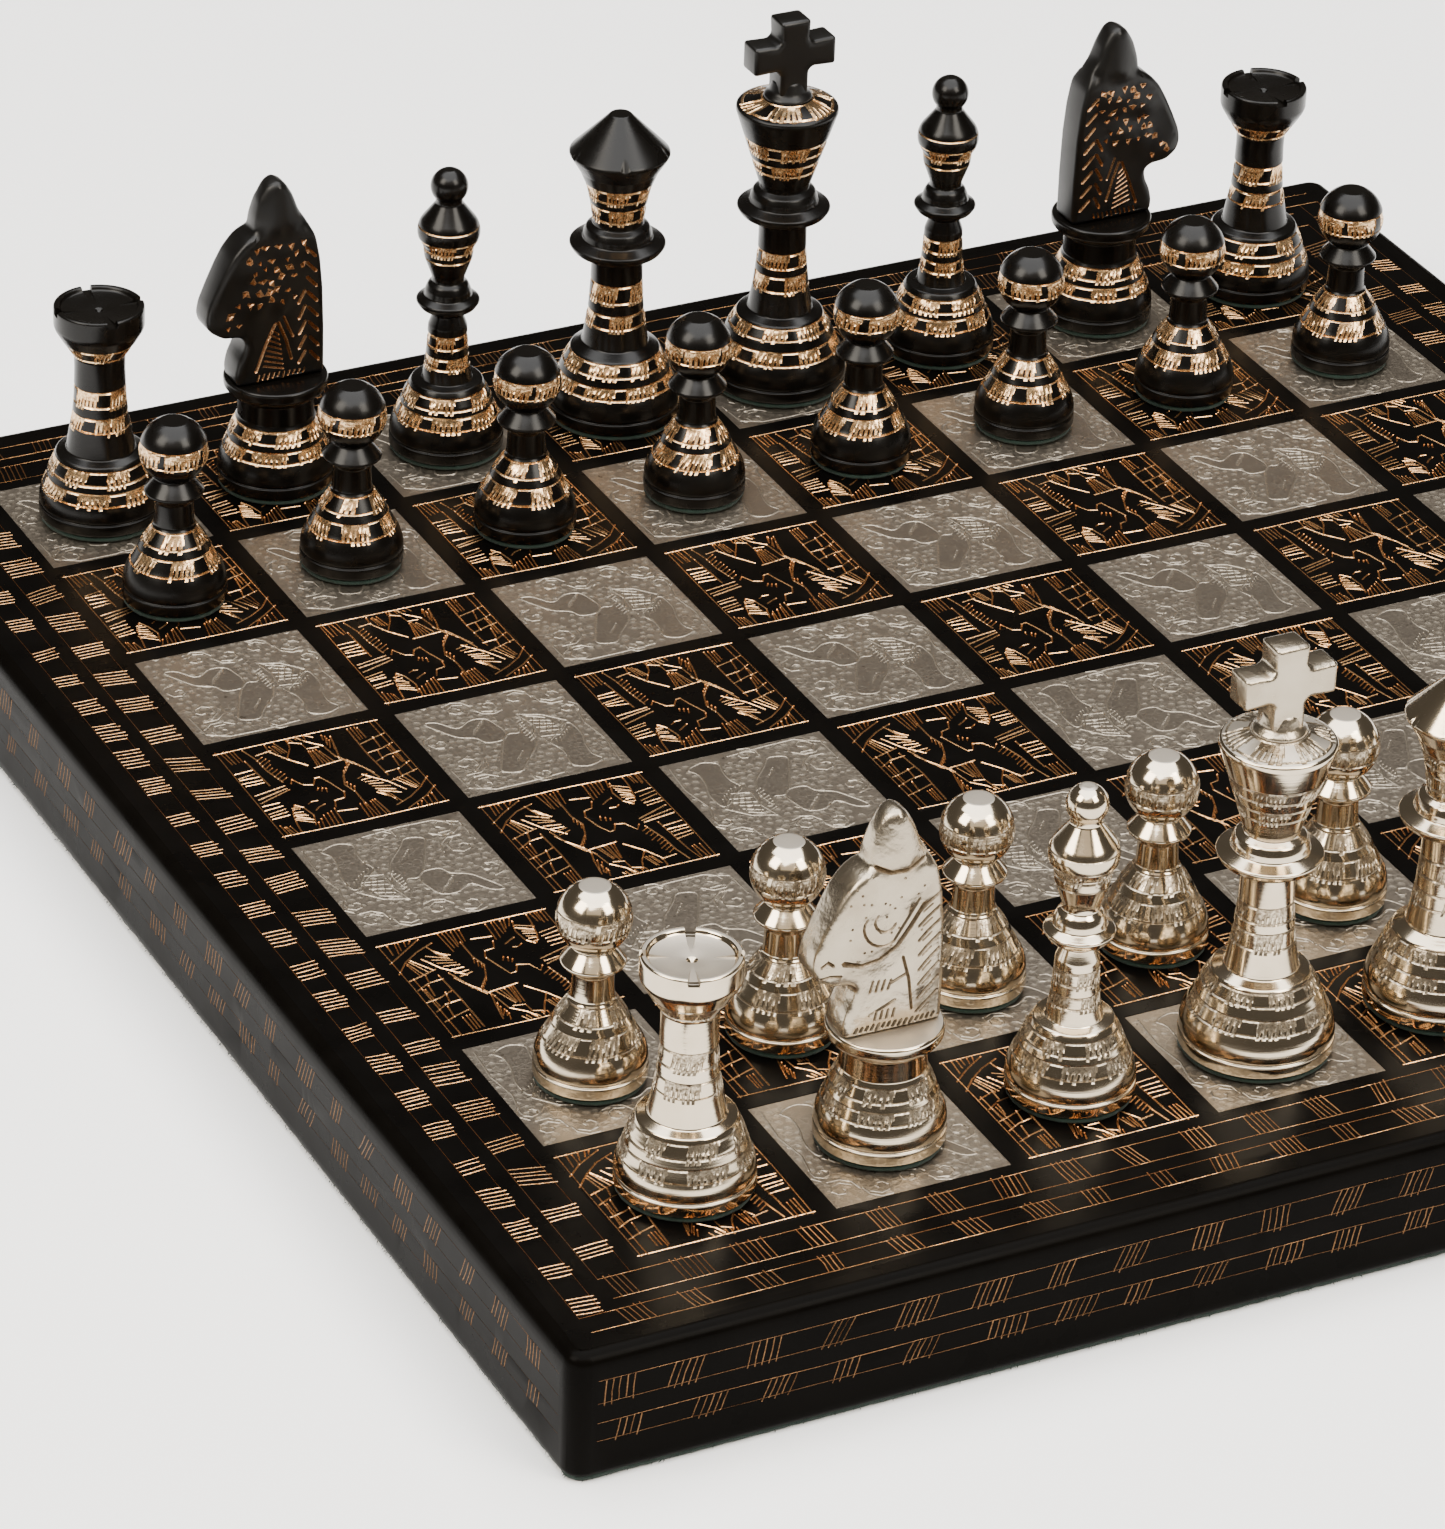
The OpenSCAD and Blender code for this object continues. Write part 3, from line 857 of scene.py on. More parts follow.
def cast_slab(name, outline, edge, half_at, cuts, materials, lattice):
    """A closed slab in the XZ plane: half_at(points) is half its thickness, edge its rounding."""
    shape = np.asarray(outline, float)
    rings = [0.0, 0.16, 0.42, 1.0]
    guides = []
    for share in rings:
        ring = inset(shape, share * edge)
        guides.append([*ring, ring[0]])
    low, high = shape.min(axis=0), shape.max(axis=0)
    xs = np.arange(low[0] + lattice / 2, high[0], lattice)
    ys = np.arange(low[1] + lattice / 2, high[1], lattice)
    loose = np.array([(x + (k % 2) * lattice / 2, y) for k, y in enumerate(ys) for x in xs])
    loose = loose[inside(loose, shape)]
    loose = loose[distance_to(loose, shape) > edge * 1.15]
    flat, triangles, depth, mid_depth = engrave(guides, cuts, lambda m: inside(m, shape), loose)
    away = distance_to(flat, shape)
    near = np.clip(away / edge, 0, 1)
    half = half_at(flat) - edge * (1 - np.sqrt(np.clip(1 - (1 - near) ** 2, 0, 1)))
    half = half - depth * np.clip(away / edge, 0.25, 1)
    border = np.flatnonzero(away < 1e-3)
    order = border[np.argsort(walk(flat[border], shape))]
    front = np.column_stack([flat[:, 0], -half, flat[:, 1]])
    back = np.column_stack([flat[:, 0], half, flat[:, 1]])
    count = len(flat)
    a, b = order, np.roll(order, -1)
    walls = np.stack([a, a + count, b + count, b], axis=-1)
    cut = (np.abs(mid_depth) > 0.01).astype(int)
    points = np.concatenate([front, back])
    groups = [(triangles, cut), (triangles[:, ::-1] + count, cut), (walls, 0)]
    return build_mesh(name, points, groups, materials, 34)


def inset(shape, by):
    """The closed outline moved inwards; shape runs anticlockwise."""
    if by == 0:
        return shape
    before, after = np.roll(shape, 1, axis=0), np.roll(shape, -1, axis=0)
    along = after - before
    along /= np.maximum(np.linalg.norm(along, axis=1), 1e-9)[:, None]
    moved = shape + by * np.column_stack([-along[:, 1], along[:, 0]])
    good = inside(moved, shape) & (distance_to(moved, shape) > 0.8 * by)
    return moved[good]


def walk(points, shape):
    """How far round a closed outline each point on it lies."""
    a = shape
    ab = np.roll(a, -1, axis=0) - a
    length = np.linalg.norm(ab, axis=1)
    start = np.concatenate([[0], np.cumsum(length)[:-1]])
    t = np.clip(((points[:, None] - a) * ab).sum(2) / (length ** 2), 0, 1)
    away = np.linalg.norm(points[:, None] - (a + t[..., None] * ab), axis=2)
    nearest = away.argmin(axis=1)
    return start[nearest] + t[np.arange(len(points)), nearest] * length[nearest]


HEAD_LINE = [
    (-8.6, 0), (-8.9, 2.0), (-8.4, 4.4), (-7.2, 6.8), (-6.9, 8.6), (-8.2, 9.5), (-11.2, 9.8), (-13.6, 11.4),
    (-14.3, 13.2), (-13.9, 15.6), (-12.3, 19.2), (-10.7, 22.4), (-9.2, 25.0), (-7.2, 27.2), (-4.9, 28.6),
    (-4.6, 31.2), (-3.7, 34.4), (-2.2, 36.8), (-0.4, 37.6), (1.2, 36.9), (2.7, 34.4), (3.7, 31.4),
    (5.0, 29.4), (6.5, 26.4), (7.3, 22.2), (7.8, 16.6), (8.0, 8.6), (8.0, 0),
]
EAR_TIP = 18
# Swellings of the head: centre, how far each reaches along and up, and height.
HEAD_SWELLS = [(-3.2, 16.4, 4.2, 3.6, 0.75), (-5.2, 22.2, 3.2, 2.4, 0.6), (-11.2, 12.0, 2.4, 2.4, 0.55),
               (2.8, 8.0, 3.2, 7.0, 0.65), (1.0, 24.6, 3.6, 3.0, 0.6)]


def head_half(thick):
    """Half the thickness of a horse's head: muscles, thinner towards the nose, coned at the ear."""
    def half_at(points):
        x, y = points[:, 0], points[:, 1]
        swell = np.zeros(len(points))
        for cx, cy, along, up, high in HEAD_SWELLS:
            swell = np.maximum(swell, high * np.exp(-((x - cx) / along) ** 2 - ((y - cy) / up) ** 2))
        half = thick / 2 - 0.8 + swell - 0.06 * np.clip(-x - 6.5, 0, 9)
        ear = np.clip((y - 28.2) / 9.6, 0, 1)
        ridge = np.abs(x + 0.2) / (4.8 - 2.6 * ear)
        cone = thick / 2 * (0.98 - 0.42 * ear ** 1.6) * (1 - 0.4 * np.clip(ridge, 0, 1) ** 1.6)
        blend = np.clip((y - 28.2) / 1.2, 0, 1)
        return half * (1 - blend) + cone * blend

    return half_at


def dark_head_cuts(pick):
    """Punched marks on the face, leaves down the mane and a hatched fan on the chest."""
    cuts = []
    for row in range(8):
        for column in range(9):
            y = 12.0 + 2.05 * row
            x = -12.8 + 2.15 * column + 1.05 * (row % 2)
            front = -13.2 + (y - 9) * 0.36
            if x < front + 1.2 or x > min(5.2, front + 13.0) or (y < 14.5 and x > -8.2):
                continue
            x += pick.uniform(-0.5, 0.5)
            y += pick.uniform(-0.45, 0.45)
            size = pick.uniform(0.45, 0.7)
            cuts.append(dimple(x, y, size, 0.5, 3, 0.6 + pick.uniform(-0.5, 0.5)))
    for i in range(8):
        y = 2.4 + 2.9 * i
        cuts.append(stroke([(5.0 - 0.1 * i, y + 2.5), (6.7 - 0.08 * i, y + 0.5)], 0.66, 0.36))
        if i < 5:
            cuts.append(stroke([(4.0, y + 2.9), (2.8, y + 0.7)], 0.66, 0.36))
    cuts.append(stroke([(-1.6, 11.4), (-3.4, 7.4), (-5.2, 2.6)], 0.62, 0.34))
    cuts.append(stroke([(-1.0, 11.6), (0.4, 8.0), (1.4, 4.2)], 0.6, 0.30))
    cuts.append(stroke([(0.0, 12.6), (1.6, 8.6)], 0.5, 0.26))
    for i in range(8):
        y = 2.6 + 0.98 * i
        half = 2.1 - 0.22 * i
        cuts.append(stroke([(-1.7 - half, y + 0.9), (-1.3 + half * 0.6, y - 0.2)], 0.34, 0.24))
    for i in range(10):
        x = -4.6 + 0.95 * i
        cuts.append(stroke([(x, 1.9), (x - 0.3, 0.9 + pick.uniform(-0.2, 0.2))], 0.36, 0.24))
    return cuts


def light_head_cuts(pick):
    """Eyelid, long jaw line, nostril, leaves of mane and short tool marks."""
    cuts = [
        stroke(arc((-2.9, 19.4), 3.4, 150, 300, 9), 0.5, 0.32),
        stroke(arc((-2.6, 20.2), 1.9, 140, 330, 8), 0.52, 0.27),
        stroke([(-9.4, 13.9), (-6.4, 12.9), (-3.4, 13.5), (-0.6, 15.4), (1.8, 18.2), (4.0, 21.6)], 0.95, 0.7),
        stroke([(-4.2, 29.3), (-2.0, 28.3), (1.0, 28.1), (3.8, 29.2)], 0.87, 0.68),
        stroke([(-1.2, 16.6), (1.2, 19.6), (3.0, 22.8)], 0.58, 0.34),
        stroke([(-12.9, 14.0), (-11.9, 14.7), (-11.1, 14.0)], 0.6, 0.4),
        stroke([(-13.4, 11.9), (-11.6, 12.3), (-9.8, 11.9)], 0.6, 0.4),
        stroke([(0.6, 13.0), (1.6, 9.0), (2.4, 3.4)], 0.55, 0.36),
        stroke([(-1.4, 8.6), (1.2, 10.0)], 0.58, 0.34),
        stroke([(-4.6, 3.6), (-0.4, 5.6)], 0.58, 0.34),
    ]
    for i in range(8):
        y = 2.6 + 2.5 * i
        cuts.append(stroke([(3.2, y), (4.6, y + 1.3), (6.9, y + 3.0)], 0.6, 0.4))
        cuts.append(stroke([(3.9, y - 0.1), (5.4, y + 1.0)], 0.4, 0.26))
    for i in range(4):
        x = -4.2 + 1.0 * i
        cuts.append(stroke([(x, 9.6 - 0.1 * i), (x - 0.5, 7.6)], 0.52, 0.34))
        cuts.append(stroke([(x + 0.8, 4.0), (x + 0.5, 2.4)], 0.52, 0.34))
    for i in range(15):
        x = -6.6 + 0.93 * i
        cuts.append(stroke([(x, 1.7), (x - 0.45, 0.75 + pick.uniform(-0.15, 0.15))], 0.61, 0.37))
    for _ in range(26):
        x, y = pick.uniform(-9, 4), pick.uniform(14, 27)
        cuts.append(dimple(x, y, 0.26, 0.18, 5, pick.random() * 6))
    return cuts


def knight_head(side, square, node, flip, seed):
    collar_z = corners(man_at(square))[1][2]
    thick = span(node)[1]
    stretch = (corners(node)[1][2] - collar_z) / HEAD_LINE[EAR_TIP][1]
    outline = rounded([(x, y * stretch) for x, y in HEAD_LINE[::-1]], 0.9, True, 6)
    pick = random.Random(seed)
    cuts = dark_head_cuts(pick) if side == "dark" else light_head_cuts(pick)
    made = cast_slab(node.replace("_head", "_horse_head"), outline, 0.95, head_half(thick), cuts,
                     CAST_METALS[side], 1.3)
    at = centre(man_at(square))
    place(made, at[0], at[1], collar_z, 180 if flip else 0)
    stand_for(made, man_at(square), node)


def king_cross(side, square, node, seed):
    body = man_at(square)
    crown_z = corners(body)[1][2]
    height = corners(node)[1][2] - crown_z
    wide = span(node)[0]
    post, arm = 2.8, 2.5
    thick = 5.4
    arm_z = 0.56 * height
    fillet = 1.2
    flare = 0.2
    half = wide / 2
    right = [(post, 0.4), *arc((post + fillet, arm_z - arm - fillet), fillet, 180, 90, 5)]
    right += [(half, arm_z - arm - flare), (half, arm_z + arm + flare)]
    right += [*arc((post + fillet, arm_z + arm + fillet), fillet, 270, 180, 5), (post + flare, height)]
    left = [(-x, z) for x, z in right[::-1]]
    outline = rounded([left[-1], *right, *left[:-1]], 0.7, True, 30)
    made = cast_slab(node.replace("_cross", "_crown_cross"), outline, 0.8,
                     lambda p: np.full(len(p), thick / 2), [], CAST_METALS[side], 1.1)
    at = centre(body)
    place(made, at[0], at[1], crown_z)
    stand_for(made, body, node)
    foot_line = rounded([(0, 0.02), (4.4, 0.02), (4.4, 0.5), (3.5, 1.4), (2.9, 3.4), (2.2, 3.8),
                         (0, 3.8)], 0.4)
    foot = turned(node + "_foot", foot_line, [], [], CAST_METALS[side], seed)
    place(foot, at[0], at[1], crown_z)
    stand_for(foot, body, node)


def make_man(side, kind, square, seed):
    body = man_at(square)
    low, high = corners(body)
    stand_z = low[2] if kind == "pawn" else corners(body + "_felt")[0][2]
    at = (low + high) / 2
    plan = MEN[kind]
    foot_r = (high[0] - low[0]) / 2
    height = high[2] - stand_z
    line = rounded(plan["line"](foot_r, height), 0.28)
    rings = [z if z > 0 else height + z for z in plan["rings"]]
    bands = [(*[z if z > 0 else height + z for z in band[:2]], *band[2:]) for band in plan["bands"]]
    shape = None
    lines = []
    turn = (seed * 137.5) % 360
    if kind == "rook":
        notch = -4 if side == "dark" else -24
        shape = rook_notches(height, 1.1, notch)
        lines = [height - 1.1]
        turn = 0
    if kind == "queen":
        shape = crown_grooves(height, 35)
        lines = list(np.arange(height - 12, height - 0.4, 0.35))
        turn = 0
    made = turned(body + "_turned", line, rings, bands, METALS[side], seed, shape, lines, foot_r)
    place(made, at[0], at[1], stand_z, turn)
    stand_for(made, body, body)
    pad = felt_disc(body + "_pad", foot_r - 0.4, 0.98, seed)
    place(pad, at[0], at[1], stand_z)
    stand_for(pad, body, body if kind == "pawn" else body + "_felt")


for side, rank in (("light", 1), ("light", 2), ("dark", 7), ("dark", 8)):
    for f, letter in enumerate(FILES):
        square = letter + str(rank)
        kind = man_at(square).split("_")[1]
        seed = 100 * rank + f
        make_man(side, kind, square, seed)
        if kind == "knight":
            knight_head(side, square, man_at(square) + "_head", letter == "g", seed + 50)
        if kind == "king":
            king_cross(side, square, side + "_king_cross", seed + 50)


# ---- engraved squares ----

def ruled(a, b, c, d, count, width, depth, pick):
    """Strokes from the line a-b across to the line c-d, in fractions of a square."""
    loose = 0.004
    made = []
    for i in range(count):
        t = (i + 0.5) / count
        p = np.array(a) * (1 - t) + np.array(b) * t
        q = np.array(c) * (1 - t) + np.array(d) * t
        p = p + [pick.gauss(0, loose), pick.gauss(0, loose)]
        q = q + [pick.gauss(0, loose), pick.gauss(0, 2 * loose)]
        made.append(([p, q], width * pick.uniform(0.85, 1.15), depth))
    return made


def drawn(points, width, depth, pick):
    """One line through some points, drawn by hand."""
    loose = 0.003
    return [([np.array(p) + [pick.gauss(0, loose), pick.gauss(0, loose)] for p in points], width, depth)]


def ticks(path, length, lean, count, width, depth, pick):
    """Short strokes off a path, like the barbs of a feather."""
    path = np.array(path, float)
    s = np.concatenate([[0], np.cumsum(np.linalg.norm(np.diff(path, axis=0), axis=1))])
    made = []
    for i in range(count):
        at = s[-1] * (i + 0.5) / count
        p = np.array([np.interp(at, s, path[:, 0]), np.interp(at, s, path[:, 1])])
        reach = length * pick.uniform(0.75, 1.2)
        q = p + reach * np.array([math.cos(math.radians(lean)), math.sin(math.radians(lean))])
        made.append(([p, q], width, depth))
    return made


# Widths and depths of strokes. Ridges are cuts of negative depth.
LINE_W = 0.30
FINE_W = 0.25
ENGRAVE_D = 0.15
FRAME_W = 0.8 * FINE_W
FRAME_D = 0.7 * ENGRAVE_D
RIDGE_W = 0.40
RIDGE_D = -0.07
BEAD_D = 0.10
BEAD_APART = 0.056
# A cut shows its own metal where it is deeper than this.
LEAST_CUT = 0.004
# Every square has a narrow rim that drops a little, and the light ones lie under the dark ones.
RIM_W = 0.12
RIM_DROP = 0.10
LIGHT_SUNK = 0.075


def dark_square_picture(pick):
    """A horse's head in black among hatching, arches and brickwork, inside a thin frame."""
    out = []

    def line(*points, width=LINE_W, depth=ENGRAVE_D):
        out.extend(drawn(points, width, depth, pick))

    def hatch(a, b, c, d, count, width=FINE_W):
        out.extend(ruled(a, b, c, d, count, width, ENGRAVE_D, pick))

    def barbs(path, length, lean, count):
        out.extend(ticks(path, length, lean, count, FINE_W, ENGRAVE_D, pick))

    # frame, drawn by eye, its lines running a little past the corners
    line((-0.004, 0.985), (0.5, 0.99), (1.0, 0.982), width=FRAME_W, depth=FRAME_D)
    line((0.018, 1.0), (0.022, 0.5), (0.02, 0.0), width=FRAME_W, depth=FRAME_D)
    line((0.978, 0.995), (0.982, 0.45), (0.978, -0.004), width=FRAME_W, depth=FRAME_D)
    line((-0.004, 0.018), (0.45, 0.012), (1.0, 0.02), width=FRAME_W, depth=FRAME_D)
    line((0.052, 0.62), (0.058, 0.02), width=FINE_W)
    # two arches over the top left corner and the strokes between them and the frame
    line((-0.004, 0.80), (0.10, 0.88), (0.24, 0.965))
    line((0.0, 0.69), (0.09, 0.79), (0.18, 0.86), (0.29, 0.91))
    hatch((0.05, 0.98), (0.21, 0.98), (0.045, 0.86), (0.19, 0.95), 5)
    hatch((0.07, 0.75), (0.12, 0.80), (0.09, 0.62), (0.20, 0.66), 4)
    # brickwork down the left side
    line((0.195, 0.60), (0.205, 0.35), (0.20, 0.05))
    for low, kink in ((0.60, 0.03), (0.50, 0.05), (0.38, 0.02), (0.28, 0.04), (0.17, 0.03)):
        line((0.03, low), (0.11, low + kink), (0.20, low + 0.06))
    for x, y0, y1 in ((0.12, 0.56, 0.64), (0.09, 0.42, 0.53), (0.14, 0.33, 0.43), (0.10, 0.19, 0.30)):
        line((x, y0), (x + 0.012, y1))
    hatch((0.13, 0.17), (0.19, 0.19), (0.13, 0.05), (0.19, 0.05), 3)
    hatch((0.05, 0.50), (0.08, 0.50), (0.05, 0.30), (0.08, 0.32), 2)
    # hatching along the top edge, with a box left plain
    hatch((0.34, 0.975), (0.49, 0.975), (0.36, 0.80), (0.47, 0.84), 6)
    line((0.50, 0.86), (0.61, 0.845))
    hatch((0.62, 0.975), (0.78, 0.975), (0.61, 0.80), (0.76, 0.91), 6)
    # mane of the head: a leaf of slanted strokes and its outline
    line((0.775, 0.94), (0.745, 0.84), (0.765, 0.74), (0.80, 0.69))
    line((0.80, 0.69), (0.84, 0.76), (0.865, 0.88), (0.875, 0.97))
    hatch((0.765, 0.92), (0.79, 0.71), (0.86, 0.86), (0.825, 0.71), 8)
    hatch((0.89, 0.975), (0.965, 0.975), (0.90, 0.90), (0.965, 0.86), 4)
    # forehead, nose and jaw of a horse, with its eye
    line((0.60, 0.80), (0.575, 0.735), (0.52, 0.725), (0.495, 0.665))
    line((0.495, 0.665), (0.53, 0.545), (0.555, 0.47), (0.585, 0.475), (0.62, 0.535))
    line((0.62, 0.535), (0.67, 0.515), (0.705, 0.435), (0.735, 0.48))
    line((0.645, 0.745), (0.685, 0.77), (0.715, 0.79))
    line((0.665, 0.70), (0.70, 0.695), (0.73, 0.715), width=FINE_W)
    for i in range(3):
        line((0.565 + 0.02 * i, 0.595 - 0.012 * i), (0.58 + 0.02 * i, 0.64 - 0.02 * i), width=FINE_W)
    # barbed lines either side of the neck
    neck = [(0.435, 0.86), (0.43, 0.70), (0.455, 0.60), (0.42, 0.50), (0.345, 0.40)]
    line(*neck)
    barbs(neck[1:], 0.055, 250, 10)
    shoulder = [(0.76, 0.45), (0.79, 0.30), (0.80, 0.16), (0.83, 0.04)]
    line(*shoulder)
    barbs(shoulder[:3], 0.06, 215, 9)
    # leaves of hatching behind the neck
    line((0.17, 0.78), (0.23, 0.66), (0.33, 0.54))
    hatch((0.20, 0.82), (0.30, 0.52), (0.31, 0.74), (0.37, 0.56), 7)
    hatch((0.24, 0.90), (0.28, 0.80), (0.27, 0.76), (0.34, 0.74), 4)
    barbs([(0.25, 0.56), (0.30, 0.44), (0.36, 0.36)], 0.09, 292, 7)
    line((0.25, 0.60), (0.29, 0.47), (0.345, 0.37))
    # bars down the right side
    hatch((0.86, 0.80), (0.86, 0.62), (0.97, 0.81), (0.97, 0.64), 5)
    hatch((0.76, 0.55), (0.77, 0.47), (0.96, 0.62), (0.965, 0.50), 3, LINE_W)
    hatch((0.85, 0.43), (0.86, 0.24), (0.97, 0.43), (0.97, 0.25), 5)
    line((0.845, 0.46), (0.865, 0.15))
    hatch((0.86, 0.15), (0.96, 0.17), (0.87, 0.02), (0.965, 0.02), 4)
    # knot, fans and bricks at the foot of the square
    line((0.36, 0.345), (0.54, 0.365))
    hatch((0.40, 0.34), (0.53, 0.355), (0.44, 0.20), (0.50, 0.19), 6)
    line((0.37, 0.33), (0.345, 0.22), (0.32, 0.08))
    hatch((0.36, 0.24), (0.38, 0.10), (0.33, 0.14), (0.36, 0.05), 5)
    line((0.38, 0.30), (0.40, 0.16), (0.47, 0.09), (0.50, 0.03))
    line((0.43, 0.17), (0.49, 0.16), (0.50, 0.09), (0.56, 0.06))
    line((0.56, 0.33), (0.64, 0.22), (0.70, 0.11), (0.69, 0.03))
    line((0.64, 0.22), (0.58, 0.12), (0.55, 0.04))
    hatch((0.60, 0.16), (0.67, 0.15), (0.63, 0.05), (0.68, 0.05), 4)
    hatch((0.41, 0.06), (0.58, 0.06), (0.43, 0.02), (0.58, 0.02), 6)
    line((0.69, 0.10), (0.78, 0.12))
    return out


def light_square_picture(pick):
    """Raised filigree: three plain forms, a small harp, and scrolls, with rows of fine cuts."""
    out = []

    def line(*points, width=RIDGE_W):
        out.extend(drawn(points, width, RIDGE_D, pick))

    def barbs(path, length, lean, count, width=0.36, depth=0.07):
        out.extend(ticks(path, length, lean, count, width, depth, pick))

    def swirl(cx, cy, r, a, step, shrink, count):
        turns = [(r * (1 - shrink * k), math.radians(a + step * k)) for k in range(count)]
        out.append(([(cx + q * math.cos(t), cy + q * math.sin(t)) for q, t in turns], RIDGE_W, RIDGE_D))

    forms = [
        [(0.13, 0.46), (0.12, 0.60), (0.16, 0.72), (0.17, 0.84), (0.12, 0.90), (0.24, 0.95), (0.33, 0.90),
         (0.30, 0.80), (0.30, 0.70), (0.34, 0.62), (0.26, 0.56), (0.18, 0.47)],
        [(0.42, 0.64), (0.55, 0.78), (0.60, 0.86), (0.72, 0.82), (0.64, 0.66), (0.56, 0.50), (0.50, 0.44),
         (0.44, 0.47), (0.40, 0.36), (0.38, 0.52)],
        [(0.50, 0.42), (0.54, 0.50), (0.66, 0.50), (0.68, 0.42), (0.78, 0.38), (0.86, 0.24), (0.90, 0.16),
         (0.82, 0.17), (0.74, 0.30), (0.64, 0.22), (0.54, 0.24)],
    ]
    for form in forms:
        smooth = rounded(form, 0.05, True, 8)
        out.append(([*smooth, smooth[0]], RIDGE_W, RIDGE_D))
    line((0.14, 0.44), (0.24, 0.57), (0.35, 0.55), (0.34, 0.40), (0.37, 0.27), (0.24, 0.32), (0.14, 0.44))
    for i in range(5):
        t = 0.17 + 0.035 * i
        line((t, 0.42 - 0.02 * i), (t + 0.06, 0.54 - 0.01 * i), width=0.3)
        line((0.20 + 0.01 * i, 0.52 - 0.04 * i), (0.33, 0.49 - 0.045 * i), width=0.3)
    barbs([(0.15, 0.50), (0.26, 0.60), (0.36, 0.60)], 0.035, 75, 8)
    barbs([(0.38, 0.56), (0.385, 0.44), (0.375, 0.32)], 0.04, 30, 8)
    barbs([(0.50, 0.64), (0.57, 0.72)], 0.035, 60, 4, 0.4, 0.08)
    barbs([(0.56, 0.24), (0.66, 0.34)], 0.06, 62, 6, 0.5, 0.08)
    # scrolls round the edge
    for cx, cy, r, a in ((0.10, 0.14, 0.075, 20), (0.30, 0.10, 0.07, 200), (0.48, 0.12, 0.07, 40),
                         (0.66, 0.10, 0.07, 220), (0.86, 0.66, 0.09, 100), (0.90, 0.40, 0.07, 300),
                         (0.08, 0.32, 0.06, 150), (0.50, 0.92, 0.06, 10), (0.84, 0.90, 0.08, 240)):
        swirl(cx, cy, r, a, 52, 0.11, 8)
        swirl(cx, cy, 1.3 * r, a - 30, 40, 0, 4)
    line((0.05, 0.95), (0.03, 0.70), (0.06, 0.50), (0.03, 0.34))
    line((0.40, 0.95), (0.62, 0.97), (0.82, 0.97), (0.95, 0.90), (0.96, 0.70))
    return out, forms


def beads(pick, forms):
    """Small dimples spread over a square between its plain forms, on a jittered lattice."""
    made = []
    apart = BEAD_APART
    count = int(1 / apart)
    for row in range(count):
        for k in range(count):
            x = (k + 0.5 + 0.5 * (row % 2) + pick.uniform(-0.22, 0.22)) * apart
            y = (row + 0.5 + pick.uniform(-0.22, 0.22)) * apart
            if 0.02 < x < 0.98 and 0.02 < y < 0.98 and pick.random() < 0.86:
                made.append((x, y, pick.uniform(0.30, 0.46) * apart))
    spots = np.array([m[:2] for m in made])
    clear = np.ones(len(spots), bool)
    for form in forms:
        clear &= ~inside(spots, form)
    return [m for m, ok in zip(made, clear) if ok]


def make_square(file, rank, pick, is_dark):
    """The engraved sheet of one square: its points, its triangles and the material number of each."""
    x0 = (file - 3.5) * pitch - tile_w / 2
    y0 = (rank - 4.5) * pitch - tile_w / 2
    x1, y1 = x0 + tile_w, y0 + tile_w
    margin = 0.0045

    def spot(p):
        p = np.asarray(p, float)
        p = 1 - p if rank > 4 else p
        return np.clip(p, margin, 1 - margin) * tile_w + [x0, y0]

    parts, forms = (dark_square_picture(pick), []) if is_dark else light_square_picture(pick)
    cuts = [stroke([spot(p) for p in path], width, depth) for path, width, depth in parts]
    for x, y, r in ([] if is_dark else beads(pick, forms)):
        cuts.append(dimple(*spot((x, y)), r * tile_w, BEAD_D, 6, pick.random() * 6))
    guides = [rectangle(x0 + d, x1 - d, y0 + d, y1 - d) for d in (0, RIM_W)]
    eighths = [(i + 0.5) / 8 for i in range(8)]
    lattice = [(x0 + tile_w * i, y0 + tile_w * j) for i in eighths for j in eighths]
    flat, triangles, depth, mid = engrave(guides, cuts, lambda m: in_box(m, x0, x1, y0, y1), lattice)
    edge = np.minimum.reduce([flat[:, 0] - x0, x1 - flat[:, 0], flat[:, 1] - y0, y1 - flat[:, 1]])
    top = board_h - (0.0 if is_dark else LIGHT_SUNK)
    points = np.column_stack([flat, top - depth - np.where(edge < 0.01, RIM_DROP, 0.0)])
    slots = (np.abs(mid) > LEAST_CUT).astype(int)
    middles = points[triangles].mean(axis=1)[:, :2]
    for form in forms:
        plain = inside(middles, np.array([spot(p) for p in form]))
        slots[plain & (slots == 0)] = 2
    return points, triangles, slots


def closed(points, triangles, slots, first):
    """Makes a sheet solid with walls down from its rim and a floor. Its points count from first."""
    rim = rim_of(triangles)
    used = np.unique(rim)
    below = np.zeros(len(points), int)
    below[used] = len(points) + np.arange(len(used))
    walls = np.column_stack([rim[:, 1], rim[:, 0], below[rim[:, 0]], below[rim[:, 1]]])
    out = points[used, :2] - points[:, :2].mean(axis=0)
    floor = below[used[np.argsort(np.arctan2(out[:, 1], out[:, 0]))]][::-1]
    bottom = points[used].copy()
    bottom[:, 2] = board_h - sheet_t
    faces = [(triangles + first, slots), (walls + first, 0), (floor[None, :] + first, 0)]
    return np.concatenate([points, bottom]), faces


